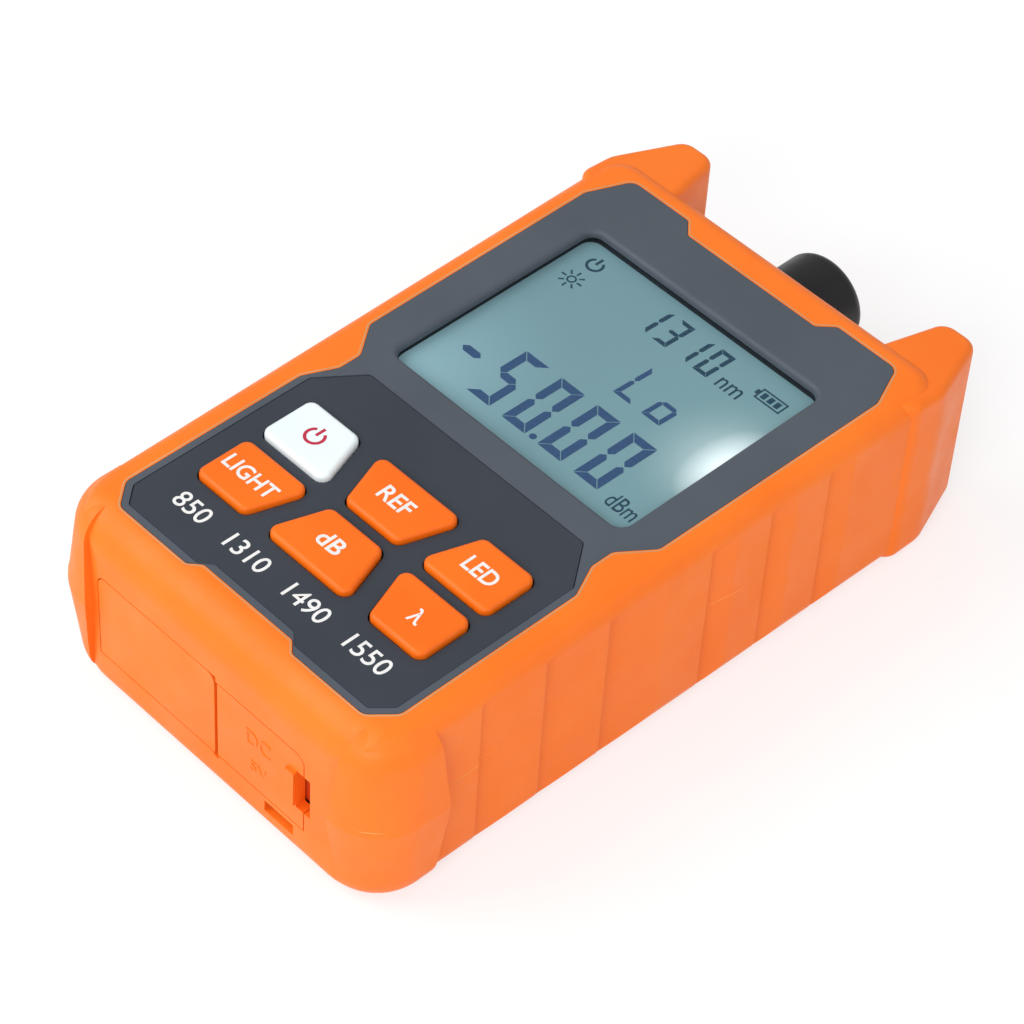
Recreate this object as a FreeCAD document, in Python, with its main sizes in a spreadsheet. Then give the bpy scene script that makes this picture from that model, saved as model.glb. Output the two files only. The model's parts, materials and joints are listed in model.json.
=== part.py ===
"""Pocket optical power meter: a grey two-part case in a moulded rubber sleeve.

Lengths are in millimetres.  Y runs from the key end (near) to the port end (far), X across, Z up from the
surface that the meter's back lies on.  Places along Y are measured from the near end and every sub-part's
Placement then moves it by half the overall length, so the origin is under the middle of the meter.
"""
import FreeCAD, Part
import math
import os
import Sketcher

SIZES = {
    # whole meter
    "overall_length": 118.2, "case_height": 31.0, "split_height": 17.5,
    # case shells
    "shell_start": 3.9, "port_reach": 14.4, "shell_half_near": 28.3, "shell_half_far": 29.9,
    "shell_wall": 1.8, "shell_corner_near": 6.0, "shell_corner_far": 3.0, "shell_bottom_round": 2.0,
    # visible face of the front shell
    "face_near_border": 2.4, "face_far_border": 1.6, "face_half_near": 26.5, "face_half_far": 28.2,
    "near_cut_across": 3.0, "near_cut_along": 3.5, "far_cut_across": 2.9, "far_cut_along": 7.0,
    "waist_half": 24.2, "waist_start": 45.0, "waist_length": 3.8, "waist_slope": 5.0,
    "shoulder_draw": 0.34, "near_notch_half": 8.6, "near_notch_slope": 1.7, "near_notch_depth": 1.5,
    "far_notch_half": 12.3, "far_notch_slope": 2.2, "far_notch_depth": 2.3,
    "face_corner": 1.8, "notch_corner": 0.9,
    # sleeve
    "sleeve_fit": 0.1, "sleeve_side": 2.1, "sleeve_near_wall": 2.3, "sleeve_far_wall": 2.3,
    "sleeve_floor": 1.9, "lip_thickness": 1.6, "lip_gap": 0.06, "sleeve_top_round": 2.8,
    "sleeve_bottom_round": 3.4, "near_end_round": 5.6,
    "ear_inner_base": 19.6, "ear_inner_tip": 22.3, "ear_taper": 4.3, "ear_proud": 0.4, "ear_overlap": 7.4,
    "ear_shoulder_reach": 0.7, "ear_setback": 2.0, "ear_slope": 1.6,
    "ear_tip_round": 2.6, "ear_top_round": 1.2, "ear_bottom_round": 2.3,
    "bumper_proud": 2.3, "bumper_flat": 0.6, "parting_height": 16.0, "bumper_draft": 5.0,
    "bumper_length": 13.2, "bumper_corner": 8.4, "bumper_top_round": 4.6, "bumper_bottom_round": 5.0,
    "bumper_drop": 0.3,
    "groove_depth": 0.9, "groove_near_first": 19.8, "groove_near_ramp": 10.6, "groove_far_first": 60.5,
    "groove_far_ramp": 5.0, "groove_pitch": 11.1, "groove_top_margin": 2.4,
    # rubber flaps in the near end wall
    "hinge_height": 7.0, "flap_gap": 0.2, "flap_thickness": 1.6, "flap_divide": 0.9, "flap_slit": 0.6,
    "usb_flap_end": 17.9, "usb_flap_top": 21.0, "blank_flap_end": 22.7, "blank_flap_top": 21.9,
    "flap_corner": 1.5, "slit_hole": 0.6, "finger_notch_start": 16.5, "finger_notch_end": 19.2,
    "finger_notch_low": 10.4, "finger_notch_height": 7.2, "slot_start": 10.4, "slot_width": 5.6,
    "slot_low": 4.1, "slot_height": 2.0, "pull_tab_width": 1.7, "pull_tab_depth": 0.5,
    "plug_width": 7.4, "plug_height": 2.2, "plug_depth": 1.0,
    # display
    "window_half": 22.1, "window_start": 52.5, "window_far_border": 11.2, "window_corner": 2.0,
    "window_edge": 0.8, "window_depth": 1.2, "lens_thickness": 0.8, "lens_border": 1.5, "lens_fit": 0.2,
    "glass_border": 1.3, "glass_thickness": 2.4, "glass_gap": 0.1, "lamp_width": 6.0, "lamp_depth": 1.3,
    "lamp_inset": 15.0,
    # keys and their panel
    "panel_margin": 1.1, "panel_far": 47.2, "panel_shoulder": 40.6, "panel_shoulder_half": 20.5,
    "panel_recess": 0.7, "panel_drop": 0.1, "panel_fit": 0.1, "panel_corner": 0.8,
    "panel_cut_across": 2.4, "panel_cut_along": 2.8,
    "key_proud": 0.9, "lower_row_start": 17.3, "upper_row_start": 28.6, "key_row_length": 9.2,
    "corner_key_inner": 8.9, "corner_key_outer": 21.7, "middle_key_half": 8.1, "key_slant": 3.1,
    "key_corner": 1.4, "key_top_round": 0.7, "key_gap": 0.25, "key_flange": 0.8, "key_flange_thickness": 0.9,
    "key_flange_gap": 0.3, "key_travel": 0.6, "corner_switch_x": 15.6,
    "switch_size": 6.0, "switch_height": 2.4, "switch_button": 1.7, "switch_gap": 0.1,
    # boards
    "board_thickness": 1.6, "board_depth": 8.6, "board_half": 25.8, "board_start": 13.0, "board_far_gap": 10.0,
    "post_radius": 1.6, "post_x": 24.0, "post_near": 15.4, "post_far": 46.8,
    "charge_board_start": 6.4, "charge_board_length": 18.5, "charge_board_width": 15.0,
    "charge_post_x": 5.2, "charge_post_back": 3.0, "socket_height": 14.0, "socket_width": 7.6,
    "socket_tall": 2.7, "socket_depth": 5.6, "socket_wall": 0.35, "socket_opening_margin": 0.9,
    # fasteners
    "boss_radius": 2.9, "boss_x": 24.2, "boss_near": 8.6, "boss_far_inset": 5.2, "case_screw": 1.2,
    "screw_head": 2.2, "screw_head_height": 1.6, "screw_head_sink": 5.0, "case_screw_length": 14.0,
    "screw_fit": 0.1, "board_screw": 0.8, "board_screw_head": 1.5, "board_screw_length": 4.5,
    "board_screw_head_height": 0.9, "drive_radius": 0.7, "drive_depth": 0.6,
    # battery
    "battery_half": 17.0, "battery_start": 42.0, "battery_far_gap": 11.8, "battery_height": 8.8,
    "battery_round": 2.5, "cradle_gap": 0.4, "cradle_wall": 1.2, "cradle_height": 4.0,
    # optical port, lamp and cap
    "port_height": 17.5, "barrel_radius": 4.5, "cap_end_wall": 3.2, "ferrule_bore": 1.25, "bore_mouth": 0.5,
    "port_flange_radius": 6.9, "port_flange": 2.6, "port_fit": 0.1, "cup_radius": 5.6, "cup_length": 4.4,
    "detector_radius": 4.1, "detector_length": 4.2, "detector_fit": 0.1, "detector_rim": 0.5,
    "nut_radius": 6.3, "nut_thickness": 2.2, "cap_radius": 7.4, "cap_start_gap": 0.3, "cap_fit": 0.3,
    "cap_end_gap": 0.5, "cap_dome": 1.9, "cap_rim": 1.6, "cap_rim_step": 0.2, "port_hole_margin": 0.6,
    "torch_x": 13.0, "torch_radius": 2.5, "torch_flange": 0.5, "torch_flange_length": 1.0,
    "torch_reach": 1.2, "torch_dome": 2.2, "torch_hole_margin": 0.9,
}

doc = FreeCAD.newDocument("PowerMeter")
sheet = doc.addObject("Spreadsheet::Sheet", "Sizes")
for row, (alias, number) in enumerate(SIZES.items(), start=1):
    sheet.set(f"A{row}", str(number))
    sheet.setAlias(f"A{row}", alias)
doc.recompute()


class Length:
    """A length with its present value and the expression that drives it."""

    def __init__(self, text, value):
        self.text = text
        self.value = value

    def __add__(self, other):
        other = as_length(other)
        return Length(f"({self.text} + {other.text})", self.value + other.value)

    def __sub__(self, other):
        other = as_length(other)
        return Length(f"({self.text} - {other.text})", self.value - other.value)

    def __mul__(self, factor):
        return Length(f"({self.text} * {factor})", self.value * factor)

    def __truediv__(self, factor):
        return Length(f"({self.text} / {factor})", self.value / factor)

    def __neg__(self):
        return Length(f"(0 - {self.text})", -self.value)


def as_length(number):
    return number if isinstance(number, Length) else Length(str(number), float(number))


class Sheet:
    """Reads a named size from the spreadsheet as a Length."""

    def __getattr__(self, alias):
        return Length(f"Sizes.{alias}", float(getattr(sheet, alias)))


size = Sheet()
ZERO = as_length(0)

# ---------------------------------------------------------------- places worked out from the sizes
LIP_BOTTOM = size.case_height - size.lip_thickness
ROOF = LIP_BOTTOM - size.shell_wall
SHELL_BOTTOM = size.sleeve_floor + size.sleeve_fit
SHELL_FLOOR = SHELL_BOTTOM + size.shell_wall
SHELL_END = size.overall_length - size.port_reach
FACE_START = size.shell_start + size.face_near_border
FACE_END = SHELL_END - size.face_far_border
WINDOW_END = FACE_END - size.window_far_border
LENS_TOP = size.case_height - size.window_depth
GLASS_TOP = LENS_TOP - size.lens_thickness - size.glass_gap
GLASS_BOTTOM = GLASS_TOP - size.glass_thickness
NEAR_FACE = size.shell_start - size.sleeve_fit - size.sleeve_near_wall
FAR_FACE = SHELL_END + size.sleeve_fit + size.sleeve_far_wall
EAR_HALF = size.shell_half_far + size.sleeve_fit + size.sleeve_side + size.ear_proud
EAR_START = SHELL_END - size.ear_overlap
EAR_SHOULDER = SHELL_END + size.ear_shoulder_reach
EAR_END = size.overall_length - size.ear_setback
BUMPER_HALF = size.shell_half_near + size.sleeve_fit + size.sleeve_side + size.bumper_proud
BUMPER_INNER = BUMPER_HALF - size.bumper_corner - size.bumper_flat
ACROSS = EAR_HALF * 3      # a cut this long goes right across the sleeve
LAMP_CENTRE = WINDOW_END - size.lamp_inset
BATTERY_END = SHELL_END - size.battery_far_gap
BARREL_END = size.overall_length - size.cap_end_wall - size.cap_end_gap
CAP_START = FAR_FACE + size.cap_start_gap
TORCH_TIP = SHELL_END + size.torch_reach
FLANGE_TOP = ROOF - size.key_flange_gap
FLANGE_BOTTOM = FLANGE_TOP - size.key_flange_thickness
BOARD_TOP = size.case_height - size.board_depth
BOARD_BOTTOM = BOARD_TOP - size.board_thickness
USB_CENTRE = (size.flap_divide + size.flap_slit / 2 + size.usb_flap_end) / 2
CHARGE_BOARD_TOP = size.socket_height - size.socket_tall / 2
CHARGE_BOARD_BOTTOM = CHARGE_BOARD_TOP - size.board_thickness
PORT_INNER = SHELL_END - size.shell_wall
CASE_SCREW_TIP = SHELL_BOTTOM + size.screw_head_sink + size.case_screw_length


# ---------------------------------------------------------------- drawing helpers
def new_body(label, seated=True):
    """A body; a seated one is a sub-part, the others are blanks and cutters in the same coordinates."""
    body = doc.addObject("PartDesign::Body", label)
    body.Label = label
    if seated:
        seat(body)
    return body


def seat(thing):
    """Puts the origin under the middle of the meter."""
    thing.setExpression("Placement.Base.y", "0 - Sizes.overall_length / 2")


def new_sketch(body, plane="XY_Plane", offset=ZERO):
    sketch = body.newObject("Sketcher::SketchObject", f"{body.Label}_sketch")
    datum = next(item for item in body.Origin.OriginFeatures if item.Role == plane)
    sketch.AttachmentSupport = [(datum, "")]
    sketch.MapMode = "FlatFace"
    sketch.setExpression("AttachmentOffset.Base.z", offset.text)
    return sketch


def pin(sketch, kind, geometry, point, length):
    """Fixes a point's distance from the sketch's origin to a length."""
    index = sketch.addConstraint(Sketcher.Constraint(kind, -1, 1, geometry, point, length.value))
    sketch.setExpression(f"Constraints[{index}]", length.text)


def draw_polygon(sketch, corners):
    """A closed outline; each corner is (x, y) or (x, y, radius), and the radii are left to fillets."""
    places = [(as_length(corner[0]), as_length(corner[1])) for corner in corners]
    vectors = [FreeCAD.Vector(x.value, y.value, 0) for x, y in places]
    first = sketch.GeometryCount
    count = len(places)
    for i in range(count):
        sketch.addGeometry(Part.LineSegment(vectors[i], vectors[(i + 1) % count]), False)
    for i in range(count):
        following = first + (i + 1) % count
        sketch.addConstraint(Sketcher.Constraint("Coincident", first + i, 2, following, 1))
        pin(sketch, "DistanceX", first + i, 1, places[i][0])
        pin(sketch, "DistanceY", first + i, 1, places[i][1])


def draw_circle(sketch, x, y, radius):
    x, y = as_length(x), as_length(y)
    centre = FreeCAD.Vector(x.value, y.value, 0)
    circle = sketch.addGeometry(Part.Circle(centre, FreeCAD.Vector(0, 0, 1), radius.value), False)
    pin(sketch, "DistanceX", circle, 3, x)
    pin(sketch, "DistanceY", circle, 3, y)
    index = sketch.addConstraint(Sketcher.Constraint("Radius", circle, radius.value))
    sketch.setExpression(f"Constraints[{index}]", radius.text)


def rectangle(x0, y0, x1, y1, corner=None):
    corners = [(x0, y0), (x1, y0), (x1, y1), (x0, y1)]
    return [(x, y, corner) for x, y in corners] if corner else corners


def mirrored(right_half):
    """The whole outline from its right half, drawn from the near end to the far end."""
    left_half = [(-as_length(corner[0]), *corner[1:]) for corner in reversed(right_half)]
    return right_half + left_half


def add_pad(body, sketch, length, both_ways=False):
    pad = body.newObject("PartDesign::Pad", f"{body.Label}_pad")
    pad.Profile = sketch
    pad.setExpression("Length", length.text)
    pad.Midplane = both_ways
    doc.recompute()
    return pad


def add_pocket(body, sketch, length, flip=False, both_ways=False):
    """Cuts against the sketch's normal, or along it when flipped, and makes sure that it cut."""
    before = body.Shape.Volume
    pocket = body.newObject("PartDesign::Pocket", f"{body.Label}_pocket")
    pocket.Profile = sketch
    pocket.setExpression("Length", length.text)
    pocket.Reversed = flip
    pocket.Midplane = both_ways
    doc.recompute()
    if body.Shape.Volume >= before:
        raise RuntimeError(f"a pocket of {body.Label} cuts nothing")
    return pocket


def revolve(body, corners, removes=False):
    """Turns an outline in the YZ plane (along, out from the axis) round the port's axis height."""
    sketch = new_sketch(body, "YZ_Plane")
    draw_polygon(sketch, [(corner[0], corner[1] + size.port_height) for corner in corners])
    kind = "PartDesign::Groove" if removes else "PartDesign::Revolution"
    axis = sketch.addGeometry(Part.LineSegment(FreeCAD.Vector(0, size.port_height.value, 0),
                                               FreeCAD.Vector(1, size.port_height.value, 0)), True)
    sketch.addConstraint(Sketcher.Constraint("Horizontal", axis))
    pin(sketch, "DistanceX", axis, 1, ZERO)
    pin(sketch, "DistanceY", axis, 1, size.port_height)
    pin(sketch, "DistanceX", axis, 2, as_length(1))
    feature = body.newObject(kind, f"{body.Label}_turning")
    feature.Profile = sketch
    feature.ReferenceAxis = (sketch, ["Axis0"])
    feature.Angle = 360.0
    doc.recompute()
    return feature


def add_fillet(body, radius, wanted, kind="Fillet"):
    """Rounds (or chamfers) the edges of the body's tip for which wanted(edge) is true."""
    base = body.Tip
    names = [f"Edge{i}" for i, edge in enumerate(base.Shape.Edges, start=1) if wanted(edge)]
    if not names:
        raise RuntimeError(f"no edge to round on {body.Label}")
    feature = body.newObject(f"PartDesign::{kind}", f"{body.Label}_{kind.lower()}")
    feature.Base = (base, names)
    feature.setExpression("Radius" if kind == "Fillet" else "Size", radius.text)
    doc.recompute()
    return feature


NEAR = 0.01      # two places closer than this are the same place


def is_upright_at(edge, spots, plane="XY_Plane"):
    """True for a straight edge that leaves the outline's plane at one of the spots."""
    box = edge.BoundBox
    rise = box.ZLength if plane == "XY_Plane" else box.YLength
    if rise < NEAR or len(edge.Vertexes) != 2:
        return False
    ends = [(vertex.X, vertex.Y if plane == "XY_Plane" else vertex.Z) for vertex in edge.Vertexes]
    return any(abs(u - x) < NEAR and abs(v - y) < NEAR for x, y in spots for u, v in ends)


def round_corners(body, corners, plane="XY_Plane"):
    """Rounds the upright edges at the outline's corners that have a radius, one fillet for each radius."""
    groups = {}
    for corner in corners:
        if len(corner) > 2 and corner[2] is not None:
            groups.setdefault(corner[2].text, (corner[2], []))[1].append(corner)
    for radius, members in groups.values():
        spots = [(as_length(x).value, as_length(y).value) for x, y, _ in members]
        add_fillet(body, radius, lambda edge: is_upright_at(edge, spots, plane))


def prism(label, corners, bottom, top, seated=True, plane="XY_Plane"):
    """A body padded from an outline between two levels, with its corners rounded."""
    body = new_body(label, seated)
    sketch = new_sketch(body, plane, bottom)
    draw_polygon(sketch, corners)
    add_pad(body, sketch, top - bottom)
    round_corners(body, corners, plane)
    return body


def cut_outlines(body, outlines, bottom, top):
    """Cuts outlines out of a body between two levels, with their corners rounded."""
    sketch = new_sketch(body, offset=bottom)
    for corners in outlines:
        draw_polygon(sketch, corners)
    add_pocket(body, sketch, top - bottom, flip=True)
    round_corners(body, [corner for corners in outlines for corner in corners])


def at_height(level):
    """Picks the edges that lie flat at a level."""
    def wanted(edge):
        box = edge.BoundBox
        return abs(box.ZMin - level.value) < NEAR and abs(box.ZMax - level.value) < NEAR
    return wanted


def fuse(label, pieces):
    joined = doc.addObject("Part::MultiFuse", label)
    joined.Shapes = pieces
    return joined


def cut(label, blank, cutters, seated=True):
    """A sub-part: a blank less its cutters."""
    result = doc.addObject("Part::Cut", label)
    result.Label = label
    result.Base = blank
    result.Tool = cutters[0] if len(cutters) == 1 else fuse(f"{label}_cutters", cutters)
    if seated:
        seat(result)
    doc.recompute()
    return result


# ---------------------------------------------------------------- outlines shared by pieces that fit
def case_outline(side, near, far, corner_grow):
    """The case in plan, grown by so much at its sides and its ends; it widens a little to the far end."""
    return mirrored([
        (size.shell_half_near + side, size.shell_start - near, size.shell_corner_near + corner_grow),
        (size.shell_half_far + side, SHELL_END + far, size.shell_corner_far + corner_grow),
    ])


def face_outline(grow):
    """The grey face: a waisted outline with cut corners and a notch in each end."""
    near_edge = FACE_START - grow
    far_edge = FACE_END + grow
    waist_end = size.waist_start + size.waist_length
    return mirrored([
        (size.near_notch_half - grow, near_edge + size.near_notch_depth, size.notch_corner),
        (size.near_notch_half - grow + size.near_notch_slope, near_edge, size.notch_corner),
        (size.face_half_near + grow - size.near_cut_across, near_edge, size.face_corner),
        (size.face_half_near + grow, near_edge + size.near_cut_along, size.face_corner),
        (size.face_half_near + grow, size.waist_start - size.waist_slope, size.face_corner),
        (size.waist_half + grow, size.waist_start, size.face_corner),
        (size.waist_half + grow, waist_end, size.face_corner),
        (size.face_half_far + grow - size.shoulder_draw, waist_end + size.waist_slope, size.face_corner),
        (size.face_half_far + grow, far_edge - size.far_cut_along, size.face_corner),
        (size.face_half_far + grow - size.far_cut_across, far_edge, size.face_corner),
        (size.far_notch_half - grow + size.far_notch_slope, far_edge, size.notch_corner),
        (size.far_notch_half - grow, far_edge - size.far_notch_depth, size.notch_corner),
    ])


def panel_outline(grow):
    """The dark panel round the keys, set in from the face's edge by the panel margin."""
    inset = size.panel_margin - grow
    near_edge = FACE_START + inset
    return mirrored([
        (size.near_notch_half - inset, near_edge + size.near_notch_depth, size.panel_corner),
        (size.near_notch_half - inset + size.near_notch_slope, near_edge, size.panel_corner),
        (size.face_half_near - inset - size.panel_cut_across, near_edge, size.panel_corner),
        (size.face_half_near - inset, near_edge + size.panel_cut_along, size.panel_corner),
        (size.face_half_near - inset, size.panel_shoulder + grow, size.panel_corner),
        (size.panel_shoulder_half + grow, size.panel_far + grow, size.panel_corner),
    ])


def key_outline(column, row, grow):
    """A key in plan.  Column -1, 0 or 1; the upper row widens downward at the sides, the lower row upward."""
    start = (size.upper_row_start if row == "upper" else size.lower_row_start) - grow
    end = start + size.key_row_length + grow * 2
    corner = size.key_corner + grow
    if column == 0:
        wide = size.middle_key_half + grow
        narrow = wide - size.key_slant
        low, high = (narrow, wide) if row == "upper" else (wide, narrow)
        return mirrored([(low, start, corner), (high, end, corner)])
    outer = size.corner_key_outer + grow
    inner = size.corner_key_inner - grow
    low, high = (inner, inner + size.key_slant) if row == "upper" else (inner + size.key_slant, inner)
    outline = [(low, start, corner), (outer, start, corner), (outer, end, corner), (high, end, corner)]
    if column < 0:
        outline = [(-x, y, radius) for x, y, radius in reversed(outline)]
    return outline


KEYS = {
    "power_key": (-1, "upper"), "ref_key": (0, "upper"), "led_key": (1, "upper"),
    "light_key": (-1, "lower"), "db_key": (0, "lower"), "wavelength_key": (1, "lower"),
}


def key_holes():
    return [key_outline(column, row, size.key_gap) for column, row in KEYS.values()]


def key_centre(column, row):
    start = size.upper_row_start if row == "upper" else size.lower_row_start
    return size.corner_switch_x * column, start + size.key_row_length / 2


# ---------------------------------------------------------------- sleeve
ABOVE = size.case_height + size.sleeve_top_round      # clear over the top of the meter
BELOW = -size.sleeve_floor                            # clear under it


def sleeve_block():
    """The sleeve's main block: widening plan, rounded all over, with a broad round at its near end."""
    outline = case_outline(size.sleeve_fit + size.sleeve_side, size.sleeve_fit + size.sleeve_near_wall,
                           size.sleeve_fit + size.sleeve_far_wall, size.sleeve_side)
    body = prism("sleeve_block", outline, ZERO, size.case_height, seated=False)
    add_fillet(body, size.sleeve_bottom_round, at_height(ZERO))
    add_fillet(body, size.sleeve_top_round, at_height(size.case_height))
    cutter = new_sketch(body, "YZ_Plane")
    centre_y, centre_z = NEAR_FACE + size.near_end_round, size.case_height - size.near_end_round
    draw_corner_cut(cutter, centre_y, centre_z, size.near_end_round)
    add_pocket(body, cutter, ACROSS, both_ways=True)
    return body


def draw_corner_cut(sketch, centre_y, centre_z, radius):
    """What lies outside a quarter round, as a closed outline in the YZ plane."""
    low = FreeCAD.Vector(centre_y.value - radius.value, centre_z.value, 0)
    high = FreeCAD.Vector(centre_y.value, centre_z.value + radius.value, 0)
    centre = FreeCAD.Vector(centre_y.value, centre_z.value, 0)
    start_angle, end_angle = math.pi / 2, math.pi
    circle = Part.Circle(centre, FreeCAD.Vector(0, 0, 1), radius.value)
    arc = sketch.addGeometry(Part.ArcOfCircle(circle, start_angle, end_angle), False)
    outer = [FreeCAD.Vector(low.x, low.y, 0), FreeCAD.Vector(low.x - radius.value, low.y, 0),
             FreeCAD.Vector(low.x - radius.value, high.y + radius.value, 0),
             FreeCAD.Vector(high.x, high.y + radius.value, 0), high]
    lines = [sketch.addGeometry(Part.LineSegment(outer[i], outer[i + 1]), False) for i in range(4)]
    chain = [(arc, 2, lines[0], 1), (lines[0], 2, lines[1], 1), (lines[1], 2, lines[2], 1),
             (lines[2], 2, lines[3], 1), (lines[3], 2, arc, 1)]
    for first, first_end, second, second_end in chain:
        sketch.addConstraint(Sketcher.Constraint("Coincident", first, first_end, second, second_end))
    pin(sketch, "DistanceX", arc, 3, centre_y)
    pin(sketch, "DistanceY", arc, 3, centre_z)
    pin(sketch, "DistanceX", arc, 1, centre_y)
    pin(sketch, "DistanceY", arc, 2, centre_z)
    index = sketch.addConstraint(Sketcher.Constraint("Radius", arc, radius.value))
    sketch.setExpression(f"Constraints[{index}]", radius.text)
    pin(sketch, "DistanceX", lines[1], 1, centre_y - radius * 2)
    sketch.addConstraint(Sketcher.Constraint("Horizontal", lines[0]))
    sketch.addConstraint(Sketcher.Constraint("Vertical", lines[1]))
    pin(sketch, "DistanceY", lines[2], 1, centre_z + radius * 2)
    sketch.addConstraint(Sketcher.Constraint("Horizontal", lines[2]))


def on_side(corners, side):
    """The outline on the right (1), or its mirror image on the left (-1)."""
    return corners if side > 0 else [(-as_length(corner[0]), *corner[1:]) for corner in reversed(corners)]


def ear(side):
    """A guard beside the port: proud of the sleeve's side, its top sloping down a little to the tip."""
    tip = size.ear_tip_round
    outline = on_side([
        (size.ear_inner_base, EAR_START),
        (EAR_HALF - tip, EAR_START),
        (EAR_HALF, EAR_START + tip, tip),
        (EAR_HALF, EAR_SHOULDER, tip * 2),
        (EAR_HALF - size.ear_taper, EAR_END, tip),
        (size.ear_inner_tip, EAR_END, tip),
        (size.ear_inner_base, FAR_FACE - size.sleeve_far_wall),
    ], side)
    body = prism("right_ear" if side > 0 else "left_ear", outline, ZERO, size.case_height, seated=False)
    slope = new_sketch(body, "YZ_Plane")
    above = size.case_height + size.ear_slope
    draw_polygon(slope, [(EAR_START, size.case_height), (EAR_END, size.case_height - size.ear_slope),
                         (EAR_END, above), (EAR_START, above)])
    add_pocket(body, slope, ACROSS, both_ways=True)
    lowest = (size.case_height - size.ear_slope).value - NEAR
    add_fillet(body, size.ear_bottom_round, at_height(ZERO))
    add_fillet(body, size.ear_top_round, lambda edge: edge.BoundBox.ZMin > lowest)
    return body


def bumper(side):
    """A thickened pad round a near corner of the sleeve, widest at its parting line."""
    outline = on_side([
        (BUMPER_INNER, ZERO),
        (BUMPER_HALF, ZERO, size.bumper_corner),
        (BUMPER_HALF, size.bumper_length),
        (BUMPER_INNER, size.bumper_length),
    ], side)
    name = "right_bumper" if side > 0 else "left_bumper"
    top = size.case_height - size.bumper_drop
    body = new_body(name, seated=False)
    sketch = new_sketch(body, offset=size.parting_height)
    draw_polygon(sketch, outline)
    pad = add_pad(body, sketch, top - size.parting_height)
    pad.SideType = "Two sides"
    pad.setExpression("Length2", "Sizes.parting_height")
    pad.setExpression("TaperAngle", "0 - Sizes.bumper_draft")
    pad.setExpression("TaperAngle2", "0 - Sizes.bumper_draft")
    doc.recompute()
    round_corners(body, outline)
    lean = size.parting_height.value * math.tan(math.radians(size.bumper_draft.value)) + NEAR
    inner = BUMPER_INNER.value + lean
    length = size.bumper_length.value - lean

    def outer_at(level):
        flat = at_height(level)

        def wanted(edge):
            box = edge.BoundBox
            on_inner = max(-box.XMin, box.XMax) < inner
            on_end = box.YMin > length
            return flat(edge) and not on_inner and not on_end
        return wanted
    add_fillet(body, size.bumper_bottom_round, outer_at(ZERO))
    add_fillet(body, size.bumper_top_round, outer_at(top))
    return body


def side_grooves():
    """Saw-tooth grooves: each steps in and ramps out again, three short of the waist and three past it."""
    outlines = []
    for first, ramp in ((size.groove_near_first, size.groove_near_ramp),
                        (size.groove_far_first, size.groove_far_ramp)):
        for number in range(3):
            start = first + size.groove_pitch * number
            for side in (1, -1):
                outlines.append(on_side(groove_outline(start, ramp), side))
    sketch = doc.addObject("Sketcher::SketchObject", "side_groove_sketch")
    sketch.setExpression("Placement.Base.z", BELOW.text)
    for outline in outlines:
        draw_polygon(sketch, outline)
    tool = doc.addObject("Part::Extrusion", "side_groove_cutter")
    tool.Base = sketch
    tool.DirMode = "Custom"
    tool.Dir = FreeCAD.Vector(0, 0, 1)
    tool.Solid = True
    tool.setExpression("LengthFwd", (size.case_height - size.groove_top_margin - BELOW).text)
    doc.recompute()
    return tool


def side_half(along):
    """Half the sleeve's outer width at a place along it."""
    near_half = size.shell_half_near + size.sleeve_fit + size.sleeve_side
    length = FAR_FACE - NEAR_FACE
    spread = size.shell_half_far - size.shell_half_near
    from_near = along - NEAR_FACE
    gain = Length(f"({spread.text} * {from_near.text} / {length.text})",
                  spread.value * from_near.value / length.value)
    return near_half + gain


def groove_outline(start, ramp):
    outside = EAR_HALF + size.sleeve_side
    return [(side_half(start) - size.groove_depth, start), (outside, start), (outside, start + ramp),
            (side_half(start + ramp), start + ramp)]


def flap_opening():
    """One opening for both flaps; its top steps where the taller flap meets the shorter one."""
    gap = size.flap_gap
    low = size.hinge_height - gap
    return [
        (-size.blank_flap_end - gap, low), (size.usb_flap_end + gap, low),
        (size.usb_flap_end + gap, size.usb_flap_top + gap, size.flap_corner + gap),
        (size.flap_divide, size.usb_flap_top + gap), (size.flap_divide, size.blank_flap_top + gap),
        (-size.blank_flap_end - gap, size.blank_flap_top + gap, size.flap_corner + gap),
    ]


def near_wall_cutter(label, corners):
    """A cutter through the near end wall, drawn across the width and up."""
    body = new_body(label, seated=False)
    inner = size.shell_start + size.sleeve_fit / 2
    sketch = new_sketch(body, "XZ_Plane", -inner)
    draw_polygon(sketch, corners)
    add_pad(body, sketch, inner + size.sleeve_near_wall)
    round_corners(body, corners, "XZ_Plane")
    return body


def wall_hole(label, x, radius, start, end):
    """A round cutter along Y at the port's height."""
    body = new_body(label, seated=False)
    sketch = new_sketch(body, "XZ_Plane", -end)
    draw_circle(sketch, x, size.port_height, radius)
    add_pad(body, sketch, end - start)
    return body


def make_sleeve():
    blank = fuse("sleeve_blank", [sleeve_block(), ear(1), ear(-1), bumper(1), bumper(-1)])
    fit = size.sleeve_fit
    outline = case_outline(fit, fit, fit, fit)
    cavity = prism("sleeve_cavity", outline, size.sleeve_floor, LIP_BOTTOM, seated=False)
    face = prism("face_opening", face_outline(size.lip_gap), LIP_BOTTOM - fit, ABOVE, seated=False)
    notch_top = size.finger_notch_low + size.finger_notch_height
    cutters = [
        cavity, face, side_grooves(), near_wall_cutter("flap_opening", flap_opening()),
        near_wall_cutter("finger_notch", rectangle(size.usb_flap_end, size.finger_notch_low,
                                                   size.finger_notch_end, notch_top)),
        near_wall_cutter("strap_slot", rectangle(size.slot_start, size.slot_low, size.slot_start + size.slot_width,
                                                 size.slot_low + size.slot_height)),
        slit_hole(),
        wall_hole("port_opening", ZERO, size.cap_radius + size.port_hole_margin, SHELL_END, EAR_END),
        wall_hole("torch_opening", -size.torch_x, size.torch_radius + size.torch_hole_margin, SHELL_END,
                  EAR_END),
    ]
    return cut("sleeve", blank, cutters)


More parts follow.
